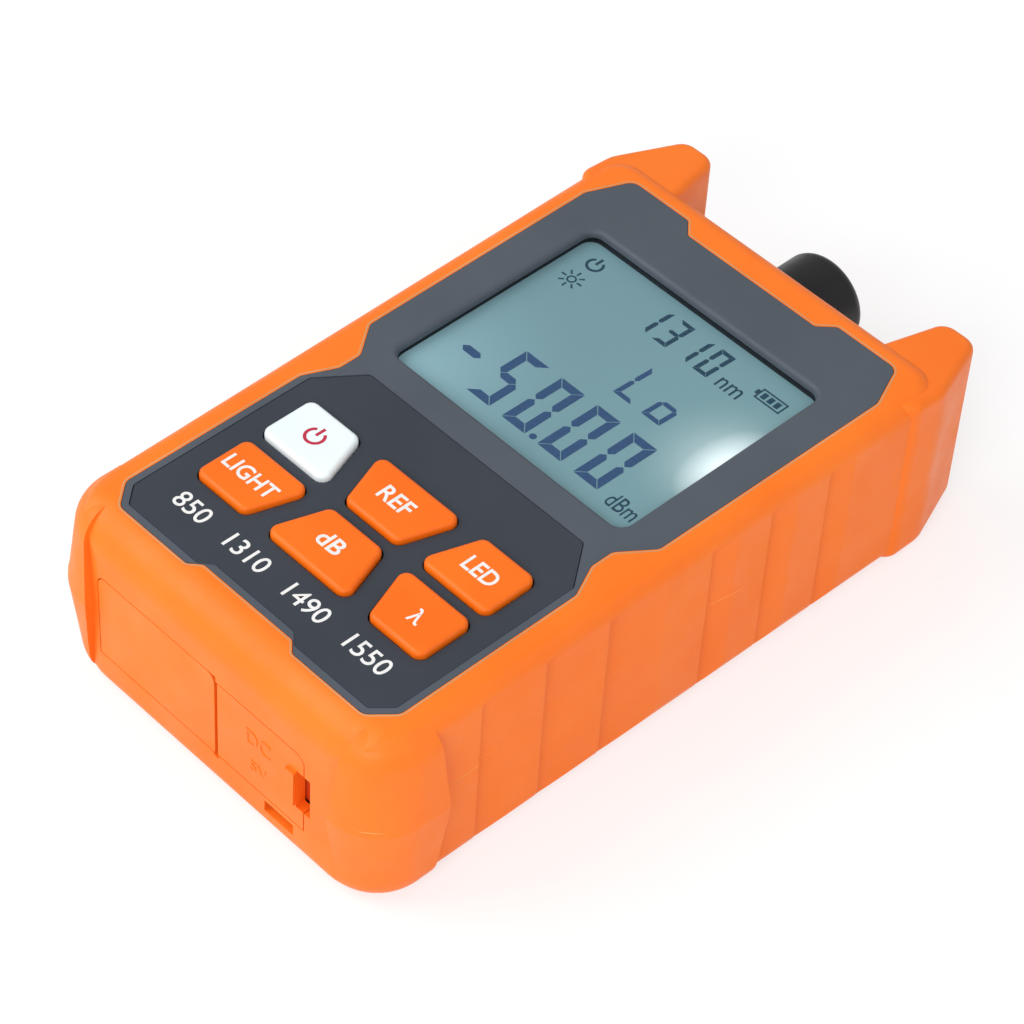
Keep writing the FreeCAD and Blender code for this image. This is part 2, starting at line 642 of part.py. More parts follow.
def slit_hole():
    """The small round hole that ends the slit between the flaps."""
    body = new_body("slit_hole", seated=False)
    inner = size.shell_start + size.sleeve_fit / 2
    sketch = new_sketch(body, "XZ_Plane", -inner)
    draw_circle(sketch, size.flap_divide, size.hinge_height - size.flap_gap, size.slit_hole)
    add_pad(body, sketch, inner + size.sleeve_near_wall)
    return body


# ---------------------------------------------------------------- flaps
def flap(label, corners):
    """A rubber flap that fills its place in the near end wall."""
    body = new_body(label)
    sketch = new_sketch(body, "XZ_Plane", -(NEAR_FACE + size.flap_thickness))
    draw_polygon(sketch, corners)
    add_pad(body, sketch, size.flap_thickness)
    round_corners(body, corners, "XZ_Plane")
    return body


def make_usb_flap():
    """The flap over the charging socket: a finger notch, a pull tab and a short plug behind."""
    low, end, top = size.hinge_height, size.usb_flap_end, size.usb_flap_top
    start = size.flap_divide + size.flap_slit / 2
    body = flap("usb_flap", [(start, low), (end, low), (end, top, size.flap_corner), (start, top)])
    notch_top = size.finger_notch_low + size.finger_notch_height
    notch = new_sketch(body, "XZ_Plane", -(NEAR_FACE + size.flap_thickness))
    draw_polygon(notch, rectangle(size.finger_notch_start, size.finger_notch_low,
                                  end + size.flap_gap, notch_top))
    add_pocket(body, notch, size.flap_thickness, flip=True)
    tab = new_sketch(body, "XZ_Plane", -NEAR_FACE)
    draw_polygon(tab, rectangle(size.finger_notch_start - size.pull_tab_width,
                                size.finger_notch_low + size.pull_tab_depth,
                                size.finger_notch_start, notch_top - size.pull_tab_depth))
    add_pad(body, tab, size.pull_tab_depth)
    plug = new_sketch(body, "XZ_Plane", -(NEAR_FACE + size.flap_thickness + size.plug_depth))
    half = size.plug_width / 2
    low = size.socket_height - size.plug_height / 2
    draw_polygon(plug, rectangle(USB_CENTRE - half, low, USB_CENTRE + half, low + size.plug_height))
    add_pad(body, plug, size.plug_depth)
    return body


def make_blank_flap():
    low, end, top = size.hinge_height, size.blank_flap_end, size.blank_flap_top
    start = size.flap_divide - size.flap_slit / 2
    return flap("blank_flap", [(-end, low), (start, low), (start, top, size.flap_corner),
                               (-end, top, size.flap_corner)])


# ---------------------------------------------------------------- case shells
def boss_spots():
    rows = (size.boss_near, SHELL_END - size.boss_far_inset)
    return [(size.boss_x * side, along) for side in (1, -1) for along in rows]


def post_spots():
    return [(size.post_x * side, along) for side in (1, -1) for along in (size.post_near, size.post_far)]


def charge_post_spots():
    along = size.charge_board_start + size.charge_board_length - size.charge_post_back
    return [(USB_CENTRE + size.charge_post_x * side, along) for side in (1, -1)]


def add_columns(body, spots, radius, bottom, top):
    sketch = new_sketch(body, offset=bottom)
    for x, y in spots:
        draw_circle(sketch, x, y, radius)
    add_pad(body, sketch, top - bottom)


def drill(body, spots, radius, bottom, top):
    sketch = new_sketch(body, offset=bottom)
    for x, y in spots:
        draw_circle(sketch, x, y, radius)
    add_pocket(body, sketch, top - bottom, flip=True)


def pierce_far_wall(body):
    """Round holes for the port's barrel and the lamp, half in each shell."""
    sketch = new_sketch(body, "XZ_Plane", -SHELL_END)
    draw_circle(sketch, ZERO, size.port_height, size.barrel_radius + size.port_fit)
    draw_circle(sketch, -size.torch_x, size.port_height, size.torch_radius + size.port_fit)
    add_pocket(body, sketch, size.shell_wall, flip=True)


def make_front_shell():
    """The case's upper half: a flange under the sleeve's lip and a raised face flush with it."""
    body = prism("front_shell", case_outline(ZERO, ZERO, ZERO, ZERO), size.split_height, LIP_BOTTOM)
    face = new_sketch(body, offset=LIP_BOTTOM)
    draw_polygon(face, face_outline(ZERO))
    add_pad(body, face, size.lip_thickness)
    round_corners(body, face_outline(ZERO))
    inside = case_outline(-size.shell_wall, -size.shell_wall, -size.shell_wall, -size.shell_wall)
    cut_outlines(body, [inside], size.split_height, ROOF)
    add_columns(body, boss_spots(), size.boss_radius, size.split_height, ROOF)
    add_columns(body, post_spots(), size.post_radius, BOARD_TOP, ROOF)
    drill(body, boss_spots(), size.case_screw - size.screw_fit * 2, size.split_height,
          CASE_SCREW_TIP + size.screw_head_height)
    drill(body, post_spots(), size.board_screw, BOARD_TOP, ROOF)
    cut_outlines(body, [lens_outline(size.lens_fit)], ROOF - size.lens_fit, LENS_TOP)
    cut_outlines(body, [window_outline(ZERO)], LENS_TOP, size.case_height)
    cut_outlines(body, [panel_outline(size.panel_fit)], size.case_height - size.panel_recess, size.case_height)
    cut_outlines(body, key_holes(), ROOF, size.case_height)
    pierce_far_wall(body)
    add_fillet(body, size.window_edge, on_window_rim)
    return body


def on_window_rim(edge):
    """True for the window opening's edges at the face."""
    box = edge.BoundBox
    flat = abs(box.ZMin - size.case_height.value) < NEAR and abs(box.ZMax - size.case_height.value) < NEAR
    within = box.YMin > size.window_start.value - NEAR and box.YMax < WINDOW_END.value + NEAR
    return flat and within and max(-box.XMin, box.XMax) < size.window_half.value + NEAR


def window_outline(grow):
    half, start, end = size.window_half + grow, size.window_start - grow, WINDOW_END + grow
    return rectangle(-half, start, half, end, size.window_corner)


def lens_outline(grow):
    return window_outline(size.lens_border + grow)


def glass_outline(grow):
    return window_outline(size.glass_border + grow)


def make_back_shell():
    """The case's lower half, with the battery's cradle, screw bosses and posts for the charging board."""
    body = prism("back_shell", case_outline(ZERO, ZERO, ZERO, ZERO), SHELL_BOTTOM, size.split_height)
    add_fillet(body, size.shell_bottom_round, at_height(SHELL_BOTTOM))
    inside = case_outline(-size.shell_wall, -size.shell_wall, -size.shell_wall, -size.shell_wall)
    cut_outlines(body, [inside], SHELL_FLOOR, size.split_height)
    add_columns(body, boss_spots(), size.boss_radius, SHELL_FLOOR, size.split_height)
    drill(body, boss_spots(), size.case_screw + size.screw_fit, SHELL_BOTTOM, size.split_height)
    drill(body, boss_spots(), size.screw_head + size.screw_fit, SHELL_BOTTOM,
          SHELL_BOTTOM + size.screw_head_sink)
    add_columns(body, charge_post_spots(), size.post_radius, SHELL_FLOOR, CHARGE_BOARD_BOTTOM)
    drill(body, charge_post_spots(), size.board_screw, SHELL_FLOOR, CHARGE_BOARD_BOTTOM)
    cradle = new_sketch(body, offset=SHELL_FLOOR)
    draw_polygon(cradle, battery_outline(size.cradle_gap + size.cradle_wall))
    draw_polygon(cradle, battery_outline(size.cradle_gap))
    add_pad(body, cradle, size.cradle_height)
    pierce_far_wall(body)
    opening = new_sketch(body, "XZ_Plane", -size.shell_start)
    margin = size.socket_opening_margin
    half_width = size.socket_width / 2 + margin
    half_height = size.socket_tall / 2 + margin
    draw_polygon(opening, rectangle(USB_CENTRE - half_width, size.socket_height - half_height,
                                    USB_CENTRE + half_width, size.socket_height + half_height))
    add_pocket(body, opening, size.shell_wall)
    return body


# ---------------------------------------------------------------- display, panel and keys
def make_display():
    lens = prism("display_window", lens_outline(ZERO), LENS_TOP - size.lens_thickness, LENS_TOP)
    glass = prism("lcd_panel", glass_outline(ZERO), GLASS_BOTTOM, GLASS_TOP)
    guide = prism("backlight", glass_outline(ZERO), BOARD_TOP, GLASS_BOTTOM)
    lamp = new_sketch(guide, offset=BOARD_TOP)
    edge = size.window_half + size.glass_border
    half = size.lamp_width / 2
    draw_polygon(lamp, rectangle(edge, LAMP_CENTRE - half, edge + size.lamp_depth, LAMP_CENTRE + half))
    add_pad(guide, lamp, GLASS_BOTTOM - BOARD_TOP)
    return [lens, glass, guide]


def make_keypad_panel():
    top = size.case_height - size.panel_drop
    body = prism("keypad_panel", panel_outline(ZERO), size.case_height - size.panel_recess, top)
    cut_outlines(body, key_holes(), size.case_height - size.panel_recess, top)
    return body


def make_key(label, column, row):
    """A domed key on a flange that stays under the case."""
    body = prism(label, key_outline(column, row, ZERO), FLANGE_BOTTOM, size.case_height + size.key_proud)
    add_fillet(body, size.key_top_round, at_height(size.case_height + size.key_proud))
    flange = new_sketch(body, offset=FLANGE_BOTTOM)
    outline = key_outline(column, row, size.key_flange)
    draw_polygon(flange, outline)
    add_pad(body, flange, size.key_flange_thickness)
    return body


def make_key_switches():
    """Six tact switches on the main board, one under the middle of each key."""
    sketch = doc.addObject("Sketcher::SketchObject", "switch_sketch")
    sketch.setExpression("Placement.Base.z", BOARD_TOP.text)
    buttons = doc.addObject("Sketcher::SketchObject", "switch_button_sketch")
    buttons.setExpression("Placement.Base.z", (BOARD_TOP + size.switch_height).text)
    half = size.switch_size / 2
    for column, row in KEYS.values():
        x, y = key_centre(column, row)
        draw_polygon(sketch, rectangle(x - half, y - half, x + half, y + half))
        draw_circle(buttons, x, y, size.switch_button)
    button_top = FLANGE_BOTTOM - size.key_travel - size.switch_gap
    housings = extrude(sketch, "switch_housings", size.switch_height)
    domes = extrude(buttons, "switch_buttons", button_top - BOARD_TOP - size.switch_height)
    joined = fuse("key_switches", [housings, domes])
    seat(joined)
    return joined


def extrude(sketch, label, length):
    solid = doc.addObject("Part::Extrusion", label)
    solid.Base = sketch
    solid.DirMode = "Custom"
    solid.Dir = FreeCAD.Vector(0, 0, 1)
    solid.Solid = True
    solid.setExpression("LengthFwd", length.text)
    return solid


# ---------------------------------------------------------------- boards, socket, battery and screws
def make_boards():
    outline = rectangle(-size.board_half, size.board_start, size.board_half, SHELL_END - size.board_far_gap,
                        size.window_corner)
    main = prism("main_board", outline, BOARD_BOTTOM, BOARD_TOP)
    drill(main, post_spots(), size.board_screw + size.screw_fit, BOARD_BOTTOM, BOARD_TOP)
    half = size.charge_board_width / 2
    charge = prism("charge_board", rectangle(USB_CENTRE - half, size.charge_board_start, USB_CENTRE + half,
                                             size.charge_board_start + size.charge_board_length),
                   CHARGE_BOARD_BOTTOM, CHARGE_BOARD_TOP)
    drill(charge, charge_post_spots(), size.board_screw + size.screw_fit, CHARGE_BOARD_BOTTOM, CHARGE_BOARD_TOP)
    return [main, charge]


def make_usb_socket():
    """The charging socket: a metal shell round an open mouth with a contact tongue."""
    half = size.socket_width / 2
    start, depth, wall = size.charge_board_start, size.socket_depth, size.socket_wall
    body = new_body("usb_socket")
    outline = new_sketch(body, "XZ_Plane", -(start + depth))
    low, high = CHARGE_BOARD_TOP, CHARGE_BOARD_TOP + size.socket_tall
    draw_polygon(outline, rectangle(USB_CENTRE - half, low, USB_CENTRE + half, high))
    add_pad(body, outline, depth)
    mouth = new_sketch(body, "XZ_Plane", -start)
    draw_polygon(mouth, rectangle(USB_CENTRE - half + wall, low + wall, USB_CENTRE + half - wall, high - wall))
    add_pocket(body, mouth, depth - wall * 2)
    tongue = new_sketch(body, "XZ_Plane", -(start + depth - wall))
    draw_polygon(tongue, rectangle(USB_CENTRE - half / 2, size.socket_height - wall, USB_CENTRE + half / 2,
                                   size.socket_height + wall))
    add_pad(body, tongue, depth - wall * 4)
    return body


def battery_outline(grow):
    half = size.battery_half + grow
    return rectangle(-half, size.battery_start - grow, half,
                     BATTERY_END + grow)


def make_battery():
    body = prism("battery", battery_outline(ZERO), SHELL_FLOOR, SHELL_FLOOR + size.battery_height)

    def along_the_cell(edge):
        box = edge.BoundBox
        return box.YLength > (BATTERY_END - size.battery_start).value / 2
    add_fillet(body, size.battery_round, along_the_cell)
    return body


def screw_solid(radius, length, head_radius, head_height, drive_radius, drive_depth):
    """A pan-head screw with its tip at the origin and its head up."""
    shank = Part.makeCylinder(radius, length)
    head = Part.makeCylinder(head_radius, head_height, FreeCAD.Vector(0, 0, length))
    recess = Part.makeCylinder(drive_radius, drive_depth,
                               FreeCAD.Vector(0, 0, length + head_height - drive_depth))
    return shank.fuse(head).cut(recess).removeSplitter()


def screw_group(label, screws):
    """Identical screws as one node of separate solids; each is (x, y, tip level, +1 head up or -1 down)."""
    solids = []
    for shape, x, y, tip, up in screws:
        copy = shape.copy()
        if up < 0:
            copy.rotate(FreeCAD.Vector(0, 0, 0), FreeCAD.Vector(1, 0, 0), 180)
        copy.translate(FreeCAD.Vector(x.value, y.value, tip.value))
        solids.append(copy)
    group = doc.addObject("Part::Feature", label)
    group.Label = label
    group.Shape = Part.makeCompound(solids)
    seat(group)
    return group


def make_screws():
    case_screw = screw_solid(size.case_screw.value - size.screw_fit.value * 2, size.case_screw_length.value,
                             size.screw_head.value, size.screw_head_height.value,
                             size.drive_radius.value, size.drive_depth.value)
    case_screws = screw_group("case_screws", [(case_screw, x, y, CASE_SCREW_TIP, -1) for x, y in boss_spots()])
    board_screw = screw_solid(size.board_screw.value, size.board_screw_length.value,
                              size.board_screw_head.value, size.board_screw_head_height.value,
                              size.drive_radius.value / 2, size.drive_depth.value)
    main_tip = BOARD_BOTTOM + size.board_screw_length
    charge_tip = CHARGE_BOARD_TOP - size.board_screw_length
    board_screws = screw_group("board_screws", [(board_screw, x, y, main_tip, -1) for x, y in post_spots()]
                               + [(board_screw, x, y, charge_tip, 1) for x, y in charge_post_spots()])
    return [case_screws, board_screws]


# ---------------------------------------------------------------- optical port, lamp and cap
def make_port_body():
    """Turned port: a flange inside the case, a barrel outside it and a cup for the detector behind."""
    body = new_body("port_body")
    flange_start = PORT_INNER - size.port_flange
    cup_start = flange_start - size.cup_length
    revolve(body, [
        (cup_start, ZERO), (BARREL_END, ZERO), (BARREL_END, size.barrel_radius),
        (PORT_INNER, size.barrel_radius), (PORT_INNER, size.port_flange_radius),
        (flange_start, size.port_flange_radius), (flange_start, size.cup_radius), (cup_start, size.cup_radius),
    ])
    pocket_end = cup_start + size.detector_length + size.detector_rim
    cup = size.detector_radius + size.detector_fit
    revolve(body, [(cup_start, ZERO), (pocket_end, ZERO), (pocket_end, cup), (cup_start, cup)], removes=True)
    mouth = BARREL_END - size.bore_mouth
    revolve(body, [
        (pocket_end, ZERO), (BARREL_END, ZERO), (BARREL_END, size.ferrule_bore + size.bore_mouth),
        (mouth, size.ferrule_bore), (pocket_end, size.ferrule_bore),
    ], removes=True)
    return body


def make_port_nut():
    body = new_body("port_nut")
    inner = size.barrel_radius + size.port_fit
    end = SHELL_END + size.nut_thickness
    revolve(body, [(SHELL_END, inner), (end, inner), (end, size.nut_radius), (SHELL_END, size.nut_radius)])
    return body


def make_photodiode():
    """The detector in its can, with the rim that it seats on."""
    body = new_body("photodiode")
    start = PORT_INNER - size.port_flange - size.cup_length
    end = start + size.detector_length
    rim = size.detector_radius - size.detector_rim
    revolve(body, [(start, ZERO), (end, ZERO), (end, rim), (start + size.detector_rim * 2, rim),
                   (start + size.detector_rim * 2, size.detector_radius), (start, size.detector_radius)])
    return body


def make_dust_cap():
    """Domed rubber cap, a push fit over the barrel, with a thicker rim to pull it by."""
    body = new_body("dust_cap")
    start, end, radius = CAP_START, size.overall_length, size.cap_radius
    inner = size.barrel_radius + size.cap_fit
    bottom = BARREL_END + size.cap_end_gap
    neck = radius - size.cap_rim_step
    revolve(body, [
        (start, inner), (bottom, inner), (bottom, ZERO), (end, ZERO), (end, neck), (start + size.cap_rim, neck),
        (start + size.cap_rim, radius), (start, radius),
    ])

    def on_far_rim(edge):
        box = edge.BoundBox
        return abs(box.YMin - end.value) < NEAR and abs(box.YMax - end.value) < NEAR and box.XLength > NEAR
    add_fillet(body, size.cap_dome, on_far_rim)
    return body


def make_torch_led():
    """A 5 mm lamp: a lens through the far wall on a flange inside it."""
    body = new_body("torch_led")
    lens = new_sketch(body, "XZ_Plane", -TORCH_TIP)
    draw_circle(lens, -size.torch_x, size.port_height, size.torch_radius)
    add_pad(body, lens, TORCH_TIP - PORT_INNER + size.torch_flange_length)
    flange = new_sketch(body, "XZ_Plane", -PORT_INNER)
    draw_circle(flange, -size.torch_x, size.port_height, size.torch_radius + size.torch_flange)
    add_pad(body, flange, size.torch_flange_length)

    def at_tip(edge):
        return abs(edge.BoundBox.YMin - TORCH_TIP.value) < NEAR
    add_fillet(body, size.torch_dome, at_tip)
    return body


# ---------------------------------------------------------------- the meter
def build():
    parts = [make_sleeve(), make_usb_flap(), make_blank_flap(), make_front_shell(), make_back_shell()]
    parts += make_display()
    parts.append(make_keypad_panel())
    parts += [make_key(label, column, row) for label, (column, row) in KEYS.items()]
    parts.append(make_key_switches())
    parts += make_boards()
    parts += [make_usb_socket(), make_battery()]
    parts += make_screws()
    parts += [make_port_body(), make_port_nut(), make_photodiode(), make_dust_cap(), make_torch_led()]
    return parts


def check(parts):
    doc.recompute()
    for item in doc.Objects:
        if "Invalid" in item.State or "Error" in item.State:
            raise RuntimeError(f"{item.Label} failed: {item.State}")
    for part in parts:
        if part.Shape.isNull() or not part.Shape.isValid():
            raise RuntimeError(f"{part.Label} has no valid shape")


def export(parts):
    os.makedirs("parts", exist_ok=True)
    for part in parts:
        part.Shape.exportStep(f"parts/{part.Label}.step")


PARTS = build()
check(PARTS)
export(PARTS)
for made in PARTS:
    print(f"{made.Label:16s} solids {len(made.Shape.Solids)}  volume {made.Shape.Volume:9.1f}")
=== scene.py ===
"""Looks of the pocket optical power meter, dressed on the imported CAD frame.

Everything is in metres in the frame's coordinates: +Y runs from the key end to the port end, X goes across
and Z goes up from the surface that the meter's back lies on. MM turns the millimetre sizes below to metres.
"""
import json
import math

import bmesh
import bpy
from mathutils import Euler, Matrix, Vector
from mathutils.bvhtree import BVHTree

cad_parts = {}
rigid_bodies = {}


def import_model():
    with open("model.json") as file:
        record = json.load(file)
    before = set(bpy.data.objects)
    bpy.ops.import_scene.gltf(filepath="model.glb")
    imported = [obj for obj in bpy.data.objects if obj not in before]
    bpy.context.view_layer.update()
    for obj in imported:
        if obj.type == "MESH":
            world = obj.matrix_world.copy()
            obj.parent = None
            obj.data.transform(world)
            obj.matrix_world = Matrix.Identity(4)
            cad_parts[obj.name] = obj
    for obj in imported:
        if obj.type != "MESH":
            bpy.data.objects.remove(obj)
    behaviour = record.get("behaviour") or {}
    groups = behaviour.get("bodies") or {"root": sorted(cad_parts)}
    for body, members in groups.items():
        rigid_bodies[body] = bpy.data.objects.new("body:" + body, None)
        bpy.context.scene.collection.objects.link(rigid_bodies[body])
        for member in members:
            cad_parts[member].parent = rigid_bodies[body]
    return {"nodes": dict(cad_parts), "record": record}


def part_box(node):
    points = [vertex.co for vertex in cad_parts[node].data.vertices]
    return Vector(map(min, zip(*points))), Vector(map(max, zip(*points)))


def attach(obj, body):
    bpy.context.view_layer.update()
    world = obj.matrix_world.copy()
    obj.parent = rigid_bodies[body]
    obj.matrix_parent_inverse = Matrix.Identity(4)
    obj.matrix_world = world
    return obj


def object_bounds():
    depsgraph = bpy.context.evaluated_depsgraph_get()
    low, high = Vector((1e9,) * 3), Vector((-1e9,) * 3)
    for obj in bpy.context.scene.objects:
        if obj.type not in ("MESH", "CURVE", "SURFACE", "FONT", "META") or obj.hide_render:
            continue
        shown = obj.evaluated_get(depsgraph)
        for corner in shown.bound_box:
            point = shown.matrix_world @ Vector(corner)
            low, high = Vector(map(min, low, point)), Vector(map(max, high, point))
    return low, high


MM = 0.001

for leftover in list(bpy.data.objects):
    bpy.data.objects.remove(leftover)
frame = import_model()
nodes = frame["nodes"]
cad_low, cad_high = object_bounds()

FACE_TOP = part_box("front_shell")[1].z
GLASS_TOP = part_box("lcd_panel")[1].z
PANEL_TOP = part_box("keypad_panel")[1].z


# ---------------------------------------------------------------- materials
def srgb(red, green, blue):
    """A colour as it looks on a screen, 0 to 255, as the linear RGBA that Blender's sockets take."""
    def linear(value):
        value /= 255
        return value / 12.92 if value <= 0.04045 else ((value + 0.055) / 1.055) ** 2.4
    return (linear(red), linear(green), linear(blue), 1)


NOISE_ROUGHNESS = 0.55
MIX_FACTOR, MIX_FIRST, MIX_SECOND, MIX_RESULT = 0, 6, 7, 2      # the colour sockets of Blender's Mix node


class Nodes:
    """Builds one material's node tree: add() makes a node, link() joins two sockets."""

    def __init__(self, name):
        self.material = bpy.data.materials.new(name)
        self.material.use_nodes = True
        self.tree = self.material.node_tree
        self.shader = self.tree.nodes["Principled BSDF"]
        self.output = self.tree.nodes["Material Output"]
        self.place = self.add("ShaderNodeTexCoord").outputs["Object"]

    def add(self, kind, **settings):
        node = self.tree.nodes.new(kind)
        for name, value in settings.items():
            setattr(node, name, value)
        return node

    def link(self, source, target):
        self.tree.links.new(source, target)

    def set(self, **values):
        """Gives the shader's own sockets their values, with _ for the spaces in their names."""
        for name, value in values.items():
            self.shader.inputs[name.replace("_", " ")].default_value = value

    def noise(self, per_metre, detail=3.0):
        node = self.add("ShaderNodeTexNoise")
        node.inputs["Scale"].default_value = per_metre
        node.inputs["Detail"].default_value = detail
        node.inputs["Roughness"].default_value = NOISE_ROUGHNESS
        self.link(self.place, node.inputs["Vector"])
        return node.outputs["Fac"]

    def spread(self, source, low, high, to_low=0.0, to_high=1.0):
        """The source with its range from low to high moved to the range from to_low to to_high."""
        node = self.add("ShaderNodeMapRange")
        for name, value in zip(("From Min", "From Max", "To Min", "To Max"), (low, high, to_low, to_high)):
            node.inputs[name].default_value = value
        self.link(source, node.inputs["Value"])
        return node.outputs["Result"]

    def mix(self, factor, first, second):
        """The first colour at a factor of 0 and the second at 1; each is a colour or a socket."""
        node = self.add("ShaderNodeMix", data_type="RGBA")
        self.link(factor, node.inputs[MIX_FACTOR])
        for socket, value in ((node.inputs[MIX_FIRST], first), (node.inputs[MIX_SECOND], second)):
            if isinstance(value, tuple):
                socket.default_value = value
            else:
                self.link(value, socket)
        return node.outputs[MIX_RESULT]

    def bump(self, height, strength, depth, under=None):
        node = self.add("ShaderNodeBump")
        node.inputs["Strength"].default_value = strength
        node.inputs["Distance"].default_value = depth
        self.link(height, node.inputs["Height"])
        if under is not None:
            self.link(under, node.inputs["Normal"])
        return node.outputs["Normal"]


MID_NOISE = (0.3, 0.7)              # where most of a noise texture's values lie
PATCHES_PER_METRE = 60.0
MOULDED_ROUGH_SPREAD = 0.08
MOULDED_SPECULAR = 0.3
INK_ROUGH_SPREAD = 0.06
MARKS_PER_METRE = 2500.0
MARK_STRETCH = (0.15, 1.0, 0.15)


def darker(colour, share):
    return tuple(channel * share for channel in colour[:3]) + (1,)


def moulded(name, light, dark, roughness, grains_per_metre, grain_depth):
    """Moulded rubber or plastic: two close colours in soft patches over a fine grain."""
    made = Nodes(name)
    patches = made.spread(made.noise(PATCHES_PER_METRE, 4.0), 0.35, 0.65)
    made.link(made.mix(patches, srgb(*light), srgb(*dark)), made.shader.inputs["Base Color"])
    handled = made.noise(PATCHES_PER_METRE * 3, 5.0)
    gloss = made.spread(handled, *MID_NOISE, roughness - MOULDED_ROUGH_SPREAD,
                        roughness + MOULDED_ROUGH_SPREAD)
    made.link(gloss, made.shader.inputs["Roughness"])
    grain = made.bump(made.noise(grains_per_metre, 2.0), 0.5, grain_depth)
    waves = made.bump(made.noise(PATCHES_PER_METRE, 2.0), 0.3, grain_depth * 4, grain)
    made.link(waves, made.shader.inputs["Normal"])
    made.set(Specular_IOR_Level=MOULDED_SPECULAR)
    return made.material


def print_ink(name, colour, roughness=0.45):
    """Screen-printed ink: a hair uneven in tone and gloss."""
    made = Nodes(name)
    tone = srgb(*colour)
    uneven = made.spread(made.noise(900.0), *MID_NOISE)
    made.link(made.mix(uneven, tone, darker(tone, 0.86)), made.shader.inputs["Base Color"])
    gloss = made.spread(uneven, 0, 1, roughness - INK_ROUGH_SPREAD, roughness + INK_ROUGH_SPREAD)
    made.link(gloss, made.shader.inputs["Roughness"])
    return made.material


def metal(name, colour, roughness):
    """Turned or drawn metal with fine tool marks."""
    made = Nodes(name)
    stretched = made.add("ShaderNodeMapping")
    stretched.inputs["Scale"].default_value = MARK_STRETCH
    made.link(made.place, stretched.inputs["Vector"])
    marks = made.add("ShaderNodeTexNoise")
    marks.inputs["Scale"].default_value = MARKS_PER_METRE
    made.link(stretched.outputs["Vector"], marks.inputs["Vector"])
    gloss = made.spread(marks.outputs["Fac"], *MID_NOISE, roughness * 0.7, roughness * 1.4)
    made.link(gloss, made.shader.inputs["Roughness"])
    made.link(made.bump(marks.outputs["Fac"], 0.2, 0.01 * MM), made.shader.inputs["Normal"])
    bright = srgb(*colour)
    tone = made.spread(made.noise(120.0), *MID_NOISE)
    made.link(made.mix(tone, bright, darker(bright, 0.8)), made.shader.inputs["Base Color"])
    made.set(Metallic=1.0)
    return made.material


def display_glass():
    """The display's face: grey-green, with a painted highlight that makes one corner paler, and a lamp that
    shines out at the right edge, whose light is also painted into the face's colour.
    """
    made = Nodes("display_face")
    low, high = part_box("lcd_panel")
    lamp, highlight_corner = (45.8, 21.4), (2, 3)        # mm from the display's near left corner

    def closeness(place, reach, stretch=(1, 1, 1)):
        """Falls from 1 at a place on the display to 0 at the reach, in mm."""
        point = (low.x + place[0] * MM, low.y + place[1] * MM, high.z)
        shift = made.add("ShaderNodeMapping")
        shift.inputs["Location"].default_value = [-value * scale for value, scale in zip(point, stretch)]
        shift.inputs["Scale"].default_value = stretch
        made.link(made.place, shift.inputs["Vector"])
        away = made.add("ShaderNodeVectorMath", operation="LENGTH")
        made.link(shift.outputs["Vector"], away.inputs[0])
        return made.spread(away.outputs["Value"], reach * MM, 0.0)

    def falling(source, power):
        node = made.add("ShaderNodeMath", operation="POWER")
        made.link(source, node.inputs[0])
        node.inputs[1].default_value = power
        return node.outputs["Value"]

    # painted light: the face's colour lighter towards the lamp
    base = made.mix(closeness(lamp, 30), srgb(134, 166, 176), srgb(142, 175, 182))
    # painted highlight: the face paler towards its near left corner
    base = made.mix(falling(closeness(highlight_corner, 24), 1.5), base, srgb(172, 206, 218))
    core = falling(closeness(lamp, 8.0, (1.15, 0.8, 1)), 1.15)
    fan = falling(closeness(lamp, 15.0), 2.4)
    glow = made.add("ShaderNodeMath", operation="MAXIMUM")
    made.link(core, glow.inputs[0])
    made.link(made.spread(fan, 0, 1, 0, 0.5), glow.inputs[1])
    # painted light: the lamp's glow also turns the face's colour white, besides its emission
    made.link(made.mix(glow.outputs["Value"], base, srgb(255, 255, 255)), made.shader.inputs["Base Color"])
    made.link(made.mix(glow.outputs["Value"], srgb(62, 77, 82), srgb(250, 255, 255)),
              made.shader.inputs["Emission Color"])
    made.link(made.bump(made.noise(3000.0), 0.15, 0.004 * MM), made.shader.inputs["Normal"])
    made.set(Roughness=0.5, Emission_Strength=1.0)
    return made.material


def clear_window():
    """A thin hard-coated plate: clear seen square on, with a soft reflection at a slant."""
    made = Nodes("window_plate")
    clear = made.add("ShaderNodeBsdfTransparent")
    clear.inputs["Color"].default_value = srgb(247, 251, 251)
    slant = made.add("ShaderNodeLayerWeight")
    slant.inputs["Blend"].default_value = 0.12
    blend = made.add("ShaderNodeMixShader")
    made.link(made.spread(slant.outputs["Facing"], 0, 1, 0.03, 0.5), blend.inputs[0])
    made.link(clear.outputs["BSDF"], blend.inputs[1])
    made.link(made.shader.outputs["BSDF"], blend.inputs[2])
    made.link(blend.outputs["Shader"], made.output.inputs["Surface"])
    haze = made.spread(made.noise(70.0, 4.0), *MID_NOISE, 0.05, 0.12)
    made.link(haze, made.shader.inputs["Roughness"])
    made.set(Base_Color=srgb(20, 26, 28))
    return made.material


